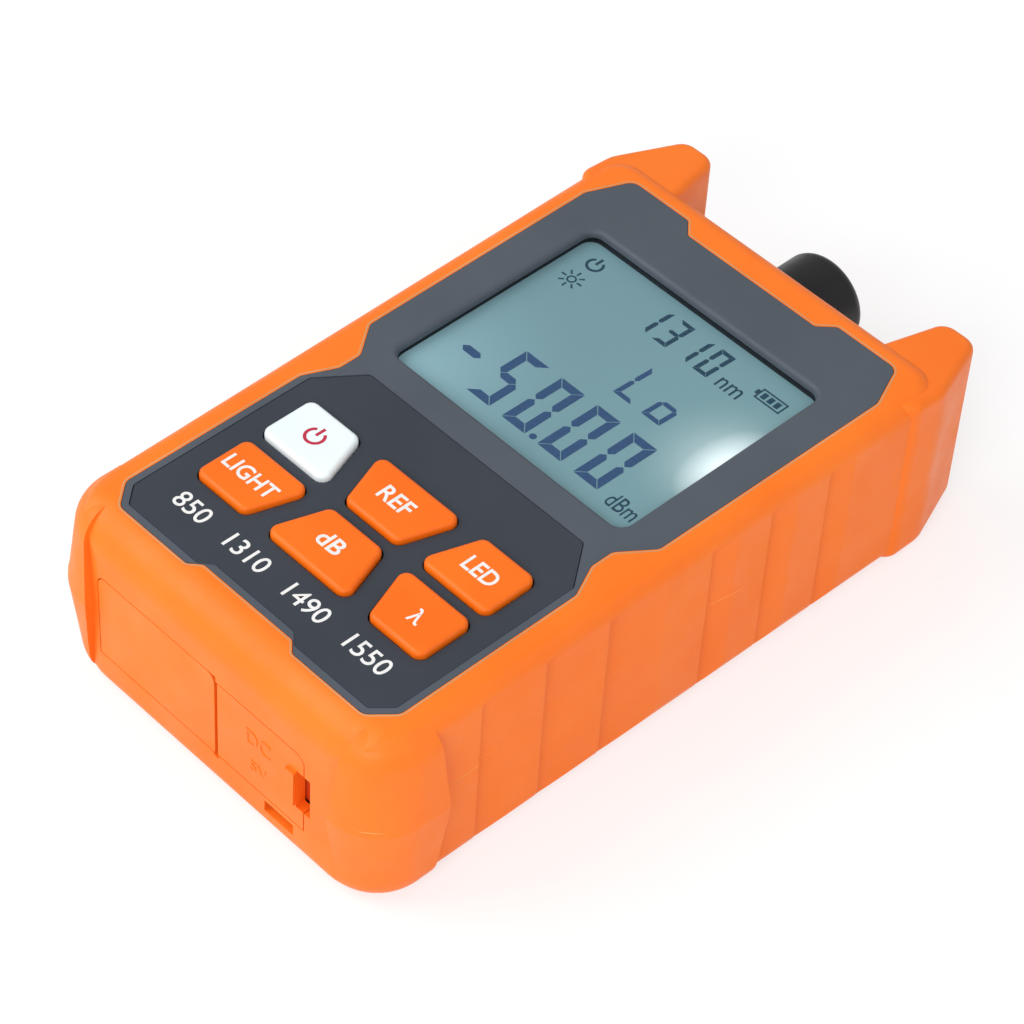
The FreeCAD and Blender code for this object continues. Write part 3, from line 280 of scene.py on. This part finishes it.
# for each moulded stuff: its light and dark colours, roughness, grains a metre and the grain's depth
MOULDED = {
    "sleeve_rubber": ((255, 126, 32), (252, 119, 25), 0.46, 2600.0, 0.03 * MM),
    "case_plastic": ((81, 88, 97), (76, 83, 92), 0.5, 4200.0, 0.03 * MM),
    "panel_film": ((56, 62, 71), (52, 58, 67), 0.42, 5200.0, 0.01 * MM),
    "key_orange": ((253, 116, 18), (248, 108, 12), 0.4, 3400.0, 0.02 * MM),
    "key_white": ((238, 247, 249), (232, 243, 246), 0.38, 3400.0, 0.02 * MM),
    "cap_rubber": ((22, 22, 23), (30, 30, 31), 0.4, 2400.0, 0.03 * MM),
    "switch_black": ((30, 30, 32), (38, 38, 40), 0.5, 3000.0, 0.01 * MM),
    "board_green": ((22, 96, 52), (16, 84, 44), 0.35, 1500.0, 0.01 * MM),
    "battery_wrap": ((176, 182, 190), (160, 166, 176), 0.3, 900.0, 0.02 * MM),
    "lamp_white": ((236, 240, 240), (226, 232, 232), 0.4, 1500.0, 0.01 * MM),
    "torch_lens": ((228, 234, 242), (214, 222, 232), 0.12, 500.0, 0.005 * MM),
    # painted highlight: the paler orange of the mould lines, where light catches the ridges
    "ridge_highlight_rubber": ((255, 160, 84), (254, 150, 70), 0.45, 2600.0, 0.01 * MM),
    # painted highlight: the tan of the sleeve's lip round the face
    "lip_highlight_rubber": ((214, 158, 108), (200, 142, 92), 0.5, 2600.0, 0.01 * MM),
    # painted shade: the darker orange deep in the finger notch
    "notch_shade_rubber": ((214, 70, 14), (200, 60, 10), 0.5, 2600.0, 0.01 * MM),
}
# for each metal: its colour and roughness
METALS = {
    "port_steel": ((206, 208, 211), 0.22),
    "socket_steel": ((190, 191, 194), 0.3),
    "screw_steel": ((168, 169, 172), 0.35),
    "detector_can": ((196, 178, 128), 0.3),
}
materials = {name: moulded(name, *look) for name, look in MOULDED.items()}
materials.update({name: metal(name, *look) for name, look in METALS.items()})
materials["display_glass"] = display_glass()
materials["window_clear"] = clear_window()
ink_white = print_ink("ink_white", (243, 243, 242))
ink_red = print_ink("ink_red", (196, 38, 70))
segment_ink = print_ink("segment_ink", (66, 98, 146), 0.3)
icon_ink = print_ink("icon_ink", (46, 82, 108), 0.3)
# painted shade: a dark ink for the frame round the display, standing for the window wall's shadow
frame_shade_ink = print_ink("frame_shade_ink", (62, 68, 76), 0.5)

for entry in frame["record"]["subparts"]:
    mesh = nodes[entry["node"]].data
    mesh.materials.clear()
    mesh.materials.append(materials[entry["material_slot"]])


# ---------------------------------------------------------------- flat printed shapes
def linked(name, data):
    """A new object in the scene that holds the data."""
    made = bpy.data.objects.new(name, data)
    bpy.context.scene.collection.objects.link(made)
    return made


def piece_from(name, shape):
    """The piece that a bmesh holds, its faces turned outward."""
    bmesh.ops.recalc_face_normals(shape, faces=shape.faces)
    mesh = bpy.data.meshes.new(name)
    shape.to_mesh(mesh)
    shape.free()
    return linked(name, mesh)


def dress(piece, body, material):
    """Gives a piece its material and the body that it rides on."""
    piece.data.materials.clear()
    piece.data.materials.append(material)
    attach(piece, body)
    return piece


def from_polygons(name, outlines, z, thickness):
    """A thin plate for each outline, its top at z."""
    shape = bmesh.new()
    for outline in outlines:
        shape.faces.new([shape.verts.new((x, y, z)) for x, y in outline])
    shape.normal_update()
    for face in list(shape.faces):
        if face.normal.z < 0:
            face.normal_flip()
    made = bmesh.ops.extrude_face_region(shape, geom=list(shape.faces))
    lower = [item for item in made["geom"] if isinstance(item, bmesh.types.BMVert)]
    bmesh.ops.translate(shape, verts=lower, vec=(0, 0, -thickness))
    return piece_from(name, shape)


def words(name, text, centre, extent, thickness, turn=(0, 0, 0), weight=0.0):
    """Lettering as wide and as tall as extent, reaching thickness before and behind centre."""
    curve = bpy.data.curves.new(name, "FONT")
    curve.body = text
    curve.resolution_u = 4
    curve.offset = weight
    curve.extrude = thickness / extent[1]
    maker = linked(name + "_curve", curve)
    bpy.context.view_layer.update()
    mesh = bpy.data.meshes.new_from_object(maker.evaluated_get(bpy.context.evaluated_depsgraph_get()))
    bpy.data.objects.remove(maker)
    low = Vector([min(vertex.co[axis] for vertex in mesh.vertices) for axis in range(3)])
    high = Vector([max(vertex.co[axis] for vertex in mesh.vertices) for axis in range(3)])
    across, up = (extent[axis] / (high[axis] - low[axis]) for axis in range(2))
    middle = Matrix.Translation(-(low + high) / 2)
    scale = Matrix.Diagonal((across, up, 2 * thickness / (high.z - low.z), 1))
    place = Matrix.Translation(centre) @ Euler(turn).to_matrix().to_4x4()
    mesh.transform(place @ scale @ middle)
    return linked(name, mesh)


def ring_plate(name, inner, outer, z, thickness):
    """A thin flat frame between two closed outlines that have as many points each."""
    shape = bmesh.new()
    count = len(inner)
    rows = [[shape.verts.new((x, y, level)) for x, y in outline]
            for outline, level in ((inner, z), (outer, z), (outer, z - thickness), (inner, z - thickness))]
    for row, beside in zip(rows, rows[1:] + rows[:1]):
        for number in range(count):
            after = (number + 1) % count
            shape.faces.new((row[number], row[after], beside[after], beside[number]))
    return piece_from(name, shape)


def arc(centre, radius, start, end, steps):
    """Points along an arc, angles in degrees from +X."""
    angles = [math.radians(start + (end - start) * step / steps) for step in range(steps + 1)]
    return [(centre[0] + radius * math.cos(angle), centre[1] + radius * math.sin(angle)) for angle in angles]


def power_symbol(centre, radius, stroke, half_gap=35, bar_from=0.12, bar_to=1.18):
    """The ring, its gap half_gap degrees to each side of +Y, and its bar, in shares of the radius."""
    start, end, steps = 90 + half_gap, 450 - half_gap, 28
    ring = arc(centre, radius, start, end, steps) + arc(centre, radius - stroke, end, start, steps)
    x, y = centre
    half = stroke / 2
    low, high = y + radius * bar_from, y + radius * bar_to
    return [ring, [(x - half, low), (x + half, low), (x + half, high), (x - half, high)]]


def half_rings(centre, outside, inside, steps=12):
    """A full ring as two halves, so that each is a simple outline."""
    return [arc(centre, outside, start, start + 180, steps) + arc(centre, inside, start + 180, start, steps)
            for start in (0, 180)]


def sun_symbol(centre, radius, stroke, rays=8, ring=(0.4, 0.26), ray_from=0.56):
    """A ring with rays round it, sized in shares of the radius that the rays reach."""
    outlines = half_rings(centre, radius * ring[0], radius * ring[1])
    middle = Vector(centre)
    for number in range(rays):
        angle = math.tau * number / rays
        along = Vector((math.cos(angle), math.sin(angle)))
        across = Vector((-along.y, along.x)) * stroke / 2
        near, far = middle + along * radius * ray_from, middle + along * radius
        corners = (near - across, far - across, far + across, near + across)
        outlines.append([tuple(corner) for corner in corners])
    return outlines


# ---------------------------------------------------------------- display content
SEGMENT_GAP = 0.07                  # between two segments, as a share of a segment's width
LIT = {"0": "abcdef", "1": "bc", "3": "abcdg", "5": "acdfg", "L": "def", "o": "cdeg"}


def seven_segment(character, left, base, width, height, bar, lean):
    """Outlines of one seven-segment character; lean is how far the top leans to the right."""
    gap = bar * SEGMENT_GAP
    half = height / 2
    cut = bar / 2
    inner = bar + gap

    def leaning(points):
        return [(left + x + lean * y / height, base + y) for x, y in points]

    def level(outer_y, inner_y):
        return [(gap, outer_y), (width - gap, outer_y), (width - inner, inner_y), (inner, inner_y)]

    def upright(outer_x, inner_x, corner_y):
        toward = 1 if corner_y > half else -1
        return [(outer_x, corner_y - toward * gap), (inner_x, corner_y - toward * inner),
                (inner_x, half + toward * (cut + gap)), ((outer_x + inner_x) / 2, half + toward * gap),
                (outer_x, half + toward * inner / 2)]

    middle = [(cut + gap, half), (inner, half + cut), (width - inner, half + cut),
              (width - cut - gap, half), (width - inner, half - cut), (inner, half - cut)]
    shapes = {
        "a": level(height, height - bar), "g": middle, "d": level(0, bar),
        "f": upright(0, bar, height), "b": upright(width, width - bar, height),
        "e": upright(0, bar, 0), "c": upright(width, width - bar, 0),
    }
    return [leaning(shapes[name]) for name in LIT[character]]


def segment_row(text, start, pitch, style):
    left, base = start
    outlines = []
    for number, character in enumerate(text):
        outlines += seven_segment(character, left + pitch * number, base, **style)
    return outlines


INK_THICKNESS = 0.03 * MM
INK_Z = GLASS_TOP + INK_THICKNESS
display_low, display_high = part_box("lcd_panel")


def on_display(x, y):
    """A place on the display, in millimetres from its near left corner, as metres in the frame."""
    return (display_low.x + x * MM, display_low.y + y * MM)


def show(name, outlines, ink=segment_ink):
    piece = from_polygons(name, outlines, INK_Z, INK_THICKNESS)
    return dress(piece, "case", ink)


READING = {"width": 4.5 * MM, "height": 11.3 * MM, "bar": 1.32 * MM, "lean": 0.12 * MM}
WAVELENGTH = {"width": 2.6 * MM, "height": 5.8 * MM, "bar": 0.68 * MM, "lean": 0.25 * MM}
LOW_WORD = {"width": 3.4 * MM, "height": 7.3 * MM, "bar": 0.75 * MM, "lean": 0.35 * MM}


def main_reading():
    """Four digits with their point, and the minus before them."""
    outlines = segment_row("5000", on_display(11.7, 5.5), 6.92 * MM, READING)
    outlines.append(arc(on_display(24.25, 6.0), 0.55 * MM, 0, 360, 16)[:-1])
    left, y = on_display(5.2, 11.0)
    half, right = 0.66 * MM, left + 3.5 * MM
    outlines.append([(left, y), (left + half, y - half), (right - half, y - half),
                     (right, y), (right - half, y + half), (left + half, y + half)])
    return outlines


def battery_icon():
    """A battery's outline with its tip on the left and its cells inside."""
    left, base = on_display(38.3, 34.0)
    wide, tall, stroke, tip = 4.6 * MM, 2.3 * MM, 0.26 * MM, 0.5 * MM
    cells, cell, cell_pitch, first_cell, cell_inset = 3, 0.8 * MM, 1.2 * MM, 0.65 * MM, 0.55 * MM

    def block(x, y, across, up):
        return [(left + x, base + y), (left + x + across, base + y),
                (left + x + across, base + y + up), (left + x, base + y + up)]

    inside = tall - 2 * stroke
    outlines = [block(0, 0, wide, stroke), block(0, tall - stroke, wide, stroke),
                block(0, stroke, stroke, inside), block(wide - stroke, stroke, stroke, inside),
                block(-tip, tall * 0.3, tip, tall * 0.4)]
    for number in range(cells):
        outlines.append(block(first_cell + number * cell_pitch, cell_inset, cell, tall - 2 * cell_inset))
    return outlines


show("lcd_reading", main_reading())
show("lcd_wavelength", segment_row("1310", on_display(17.2, 31.7), 3.9 * MM, WAVELENGTH), icon_ink)
show("lcd_low_word", segment_row("Lo", on_display(25.1, 20.2), 5.4 * MM, LOW_WORD))
show("lcd_battery_icon", battery_icon(), icon_ink)
show("lcd_power_icon", power_symbol(on_display(5.5, 36.1), 1.4 * MM, 0.42 * MM), icon_ink)
show("lcd_sun_icon", sun_symbol(on_display(5.4, 31.6), 1.9 * MM, 0.28 * MM), icon_ink)
# for each unit: its middle, from the display's near left corner, its width and its height, in mm
UNITS = {"nm": (35.1, 32.6, 4.1, 2.0), "dBm": (41.5, 5.9, 5.0, 2.8)}
for text, (x, y, wide, tall) in UNITS.items():
    middle = on_display(x, y)
    unit = words("lcd_" + text.lower(), text, (*middle, GLASS_TOP), (wide * MM, tall * MM), INK_THICKNESS,
                 weight=0.002)
    dress(unit, "case", icon_ink)


def rounded_box(low_x, low_y, high_x, high_y, radius, steps=6):
    """Points round a box with rounded corners, from the near right one on, turning left."""
    points = []
    for x, y, start in ((high_x - radius, low_y + radius, -90), (high_x - radius, high_y - radius, 0),
                        (low_x + radius, high_y - radius, 90), (low_x + radius, low_y + radius, 180)):
        points += arc((x, y), radius, start, start + 90, steps)
    return points


# the dark frame round the display, painted shade where the window's inner wall throws its shadow, its inner
# edges from the display's near left corner, in mm
SHADE_LEFT, SHADE_RIGHT, SHADE_NEAR, SHADE_FAR = 1.1, 45.7, 1.5, 39.7
SHADE_ROUND, DISPLAY_ROUND = 2.0 * MM, 0.5 * MM
shade_inner = rounded_box(*on_display(SHADE_LEFT, SHADE_NEAR), *on_display(SHADE_RIGHT, SHADE_FAR), SHADE_ROUND)
shade_outer = rounded_box(display_low.x, display_low.y, display_high.x, display_high.y, DISPLAY_ROUND)
shade_frame = ring_plate("display_shade_frame", shade_inner, shade_outer, INK_Z, INK_THICKNESS)
dress(shade_frame, "case", frame_shade_ink)

# ---------------------------------------------------------------- key legends
LEGEND_THICKNESS = 0.035 * MM
LEGEND_WEIGHT = 0.016
# for each key: its legend, how far right of and above the key's middle, its width and its height, in mm
LEGENDS = {
    "light_key": ("LIGHT", -0.6, 0.1, 9.2, 2.6),
    "db_key": ("dB", -0.1, 0.1, 4.1, 2.7),
    "wavelength_key": ("λ", 1.3, -0.2, 1.9, 2.7),
    "ref_key": ("REF", -0.2, 0.2, 5.4, 2.7),
    "led_key": ("LED", 0.9, -0.1, 5.4, 2.7),
}


def key_middle(name):
    low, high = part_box(name)
    return (low.x + high.x) / 2, (low.y + high.y) / 2, high.z


for name, (text, right, up, wide, tall) in LEGENDS.items():
    x, y, top = key_middle(name)
    middle = (x + right * MM, y + up * MM, top)
    legend = words(name + "_legend", text, middle, (wide * MM, tall * MM), LEGEND_THICKNESS,
                   weight=LEGEND_WEIGHT)
    dress(legend, name, ink_white)
x, y, top = key_middle("power_key")
symbol_outlines = power_symbol((x - 0.7 * MM, y), 1.6 * MM, 0.46 * MM)
symbol = from_polygons("power_key_legend", symbol_outlines, top + LEGEND_THICKNESS, LEGEND_THICKNESS)
dress(symbol, "power_key", ink_red)

# a row of the wavelengths that such a meter reads, where the real one has its printed strip
STRIP_FROM_EDGE = 5.9 * MM
STRIP_SIZE = (40.5 * MM, 2.9 * MM)
strip_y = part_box("keypad_panel")[0].y + STRIP_FROM_EDGE
strip = words("wavelength_strip", "850   1310   1490   1550", (0, strip_y, PANEL_TOP), STRIP_SIZE,
              LEGEND_THICKNESS, weight=0.006)
dress(strip, "case", ink_white)

# ---------------------------------------------------------------- flap lettering, raised
STANDING = (math.radians(90), 0, 0)
LETTERS_PROUD = 0.1 * MM
flap_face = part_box("blank_flap")[0].y
# for each word: its name, its middle across and up, its width and its height, in mm
for name, text, x, z, wide, tall in (("flap_function", "DC", 9.2, 16.2, 4.6, 2.8),
                                     ("flap_voltage", "5V", 9.2, 11.0, 3.2, 1.9)):
    raised = words(name, text, (x * MM, flap_face, z * MM), (wide * MM, tall * MM), LETTERS_PROUD,
                   turn=STANDING)
    dress(raised, "usb_flap", materials["sleeve_rubber"])

# the rubber behind the finger notch at the charging flap, darker than the sleeve's orange as painted shade
# in the notch
NOTCH_LEFT, NOTCH_RIGHT, NOTCH_LOW, NOTCH_HIGH = 16.0 * MM, 19.15 * MM, 10.5 * MM, 17.5 * MM
NOTCH_DEPTH, NOTCH_THICKNESS = 1.85 * MM, 0.4 * MM
notch_outline = [(NOTCH_LEFT, NOTCH_LOW), (NOTCH_RIGHT, NOTCH_LOW), (NOTCH_RIGHT, NOTCH_HIGH),
                 (NOTCH_LEFT, NOTCH_HIGH)]
notch_back = from_polygons("finger_notch_back", [notch_outline], 0, NOTCH_THICKNESS)
stand_up = Matrix.Rotation(math.radians(90), 4, "X")
notch_back.data.transform(Matrix.Translation((0, flap_face + NOTCH_DEPTH, 0)) @ stand_up)
dress(notch_back, "case", materials["notch_shade_rubber"])


# ---------------------------------------------------------------- the sleeve's thin edges and mould marks, paler as painted highlights
def top_outline(node):
    """The widest outline of the flat faces at a node's top, with the faces on its left.

    A side that two faces share is met once each way, so only the outline's own sides are left.
    """
    mesh = nodes[node].data
    top = max(vertex.co.z for vertex in mesh.vertices)
    flat, near_top, per_metre = 0.99, 0.02 * MM, 1e6
    sides = set()
    for face in mesh.polygons:
        corners = [mesh.vertices[number].co for number in face.vertices]
        if face.normal.z < flat or min(corner.z for corner in corners) < top - near_top:
            continue
        keys = [(round(corner.x * per_metre), round(corner.y * per_metre)) for corner in corners]
        for side in zip(keys, keys[1:] + keys[:1]):
            if (side[1], side[0]) in sides:
                sides.remove((side[1], side[0]))
            else:
                sides.add(side)
    following = dict(sides)
    outlines = []
    while following:
        place, following_place = following.popitem()
        outline = [place]
        while following_place in following:
            outline.append(following_place)
            following_place = following.pop(following_place)
        outlines.append(outline)
    widest = max(outlines, key=lambda outline: max(x for x, y in outline) - min(x for x, y in outline))
    return [Vector((x / per_metre, y / per_metre)) for x, y in widest]


def moved_out(outline, distance):
    """The outline moved to its right by a distance, with mitred corners."""
    moved = []
    for before, place, after in zip(outline[-1:] + outline[:-1], outline, outline[1:] + outline[:1]):
        into, away = (place - before).normalized(), (after - place).normalized()
        right_in, right_out = Vector((into.y, -into.x)), Vector((away.y, -away.x))
        moved.append(place + (right_in + right_out) * distance / (1 + right_in.dot(right_out)))
    return [tuple(place) for place in moved]


face_edge = top_outline("front_shell")
LIP_INNER, LIP_OUTER, LIP_PROUD, LIP_THICKNESS = 0.2 * MM, 0.43 * MM, 0.03 * MM, 0.06 * MM
# painted highlight: a thin tan ribbon on the sleeve's lip, where light catches its edge
lip = ring_plate("sleeve_lip_highlight", moved_out(face_edge, LIP_INNER), moved_out(face_edge, LIP_OUTER),
                 FACE_TOP + LIP_PROUD, LIP_THICKNESS)
dress(lip, "case", materials["lip_highlight_rubber"])

sleeve_mesh = nodes["sleeve"].data
sleeve_skin = BVHTree.FromPolygons([vertex.co for vertex in sleeve_mesh.vertices],
                                   [tuple(face.vertices) for face in sleeve_mesh.polygons])


MARK_WIDTH, MARK_PROUD = 0.32 * MM, 0.07 * MM
MARK_END = 0.25                     # how wide a line is at its ends, as a share of its width


def mould_line(name, rays):
    """A fine raised line on the sleeve, paler as a painted highlight, where rays, each from a start to a
    target, first meet it.
    """
    shape = bmesh.new()
    rows = []
    for number, (start, target) in enumerate(rays):
        start = Vector(start)
        place, normal, _, _ = sleeve_skin.ray_cast(start, (Vector(target) - start).normalized())
        share = math.sin(math.pi * number / (len(rays) - 1))
        up = Vector((0, 0, 1)) * MARK_WIDTH / 2 * (MARK_END + (1 - MARK_END) * share)
        sunk = place - normal * MARK_PROUD
        rows.append([shape.verts.new(sunk - up), shape.verts.new(place + normal * MARK_PROUD),
                     shape.verts.new(sunk + up)])
    for row, beside in zip(rows, rows[1:]):
        for first, second in ((0, 1), (1, 2), (2, 0)):
            shape.faces.new((row[first], row[second], beside[second], beside[first]))
    shape.faces.new(rows[0])
    shape.faces.new(rows[-1])
    # painted highlight: the line is paler than the sleeve
    dress(piece_from(name, shape), "case", materials["ridge_highlight_rubber"])


PARTING = 16.9 * MM
OUTSIDE = 45 * MM
CORNER_X, CORNER_Y = 24.4 * MM, cad_low.y + 8.4 * MM
STRETCHES = {"near": (13.5 * MM, 24.0 * MM), "far": (60.0 * MM, 68.0 * MM)}     # from the near end
STRETCH_STEPS = 12
CORNER_FROM, CORNER_TO, CORNER_STEPS = -60, -36, 10                             # degrees from +X
for hand, side in (("right", 1), ("left", -1)):
    for label, (start, end) in STRETCHES.items():
        shares = [step / STRETCH_STEPS for step in range(STRETCH_STEPS + 1)]
        along = [cad_low.y + start + (end - start) * share for share in shares]
        across = [((side * OUTSIDE, y, PARTING), (0, y, PARTING)) for y in along]
        mould_line(f"mould_line_{hand}_{label}", across)
    corner = (side * CORNER_X, CORNER_Y, PARTING)
    ring = arc((CORNER_X, CORNER_Y), OUTSIDE, CORNER_FROM, CORNER_TO, CORNER_STEPS)
    mould_line(f"mould_line_{hand}_corner", [((side * x, y, PARTING), corner) for x, y in ring])

# ---------------------------------------------------------------- floor, lights and camera
FLOOR_SIZE = 6
FLOOR_GLOW, GLOW_SHARE = 1.25, 0.5
WORLD_LIGHT = 0.56
bpy.ops.mesh.primitive_plane_add(size=FLOOR_SIZE, location=(0, 0, cad_low.z))
floor = bpy.context.object
floor.name = "floor"
paper = Nodes("floor_paper")
mottle = paper.spread(paper.noise(40.0), *MID_NOISE)
paper.link(paper.mix(mottle, srgb(236, 236, 236), srgb(232, 232, 233)), paper.shader.inputs["Base Color"])
paper.set(Roughness=0.9)
path = paper.add("ShaderNodeLightPath")
glossy_or_clear = paper.add("ShaderNodeMath", operation="MAXIMUM")
paper.link(path.outputs["Is Glossy Ray"], glossy_or_clear.inputs[0])
paper.link(path.outputs["Is Transmission Ray"], glossy_or_clear.inputs[1])
seen = paper.add("ShaderNodeMath", operation="MAXIMUM")
paper.link(path.outputs["Is Camera Ray"], seen.inputs[0])
paper.link(glossy_or_clear.outputs["Value"], seen.inputs[1])
white = paper.add("ShaderNodeEmission")
white.inputs["Color"].default_value = (1, 1, 1, 1)
white.inputs["Strength"].default_value = FLOOR_GLOW
share = paper.spread(seen.outputs["Value"], 0, 1, 0, GLOW_SHARE)
backdrop = paper.add("ShaderNodeMixShader")
paper.link(share, backdrop.inputs[0])
paper.link(paper.shader.outputs["BSDF"], backdrop.inputs[1])
paper.link(white.outputs["Emission"], backdrop.inputs[2])
paper.link(backdrop.outputs["Shader"], paper.output.inputs["Surface"])
floor.data.materials.append(paper.material)

world = bpy.data.worlds.new("studio")
bpy.context.scene.world = world
world.use_nodes = True
background = world.node_tree.nodes["Background"]
background.inputs["Color"].default_value = (1, 1, 1, 1)
background.inputs["Strength"].default_value = WORLD_LIGHT


def toward(azimuth, elevation):
    """The way from the meter to an azimuth, in degrees from -Y towards +X, and an elevation."""
    turn, rise = math.radians(azimuth), math.radians(elevation)
    return Vector((math.sin(turn) * math.cos(rise), -math.cos(turn) * math.cos(rise), math.sin(rise)))


def softbox(name, azimuth, elevation, distance, across, watts):
    """A square lamp that looks at the middle of the meter."""
    lamp = bpy.data.lights.new(name, "AREA")
    lamp.shape = "SQUARE"
    lamp.size = across
    lamp.energy = watts
    holder = linked(name, lamp)
    holder.location = toward(azimuth, elevation) * distance
    holder.rotation_euler = toward(azimuth, elevation).to_track_quat("Z", "Y").to_euler()


softbox("key_light", azimuth=-45, elevation=42, distance=0.7, across=0.5, watts=2.3)
softbox("front_light", azimuth=25, elevation=35, distance=0.8, across=0.3, watts=2.2)
softbox("fill_light", azimuth=100, elevation=35, distance=0.8, across=0.6, watts=0.85)

CAMERA_AZIMUTH, CAMERA_ELEVATION, CAMERA_ROLL = 43.5, 46.14, 4.0
CAMERA_PLACE = Vector((237.5, -254.3, 374.1)) * MM
camera_data = bpy.data.cameras.new("camera")
camera_data.sensor_width = 36.0
camera_data.lens = 128.5
camera_data.clip_start = 0.01
camera_data.clip_end = 20
camera = linked("camera", camera_data)
bpy.context.scene.camera = camera
back = toward(CAMERA_AZIMUTH, CAMERA_ELEVATION)
right = (-back).cross(Vector((0, 0, 1))).normalized()
up = right.cross(-back)
roll = math.radians(CAMERA_ROLL)
tilted_right = right * math.cos(roll) + up * math.sin(roll)
tilted_up = up * math.cos(roll) - right * math.sin(roll)
turned = Matrix((tilted_right, tilted_up, back)).transposed().to_4x4()
camera.matrix_world = Matrix.Translation(CAMERA_PLACE) @ turned

bpy.context.scene.view_settings.view_transform = "Standard"
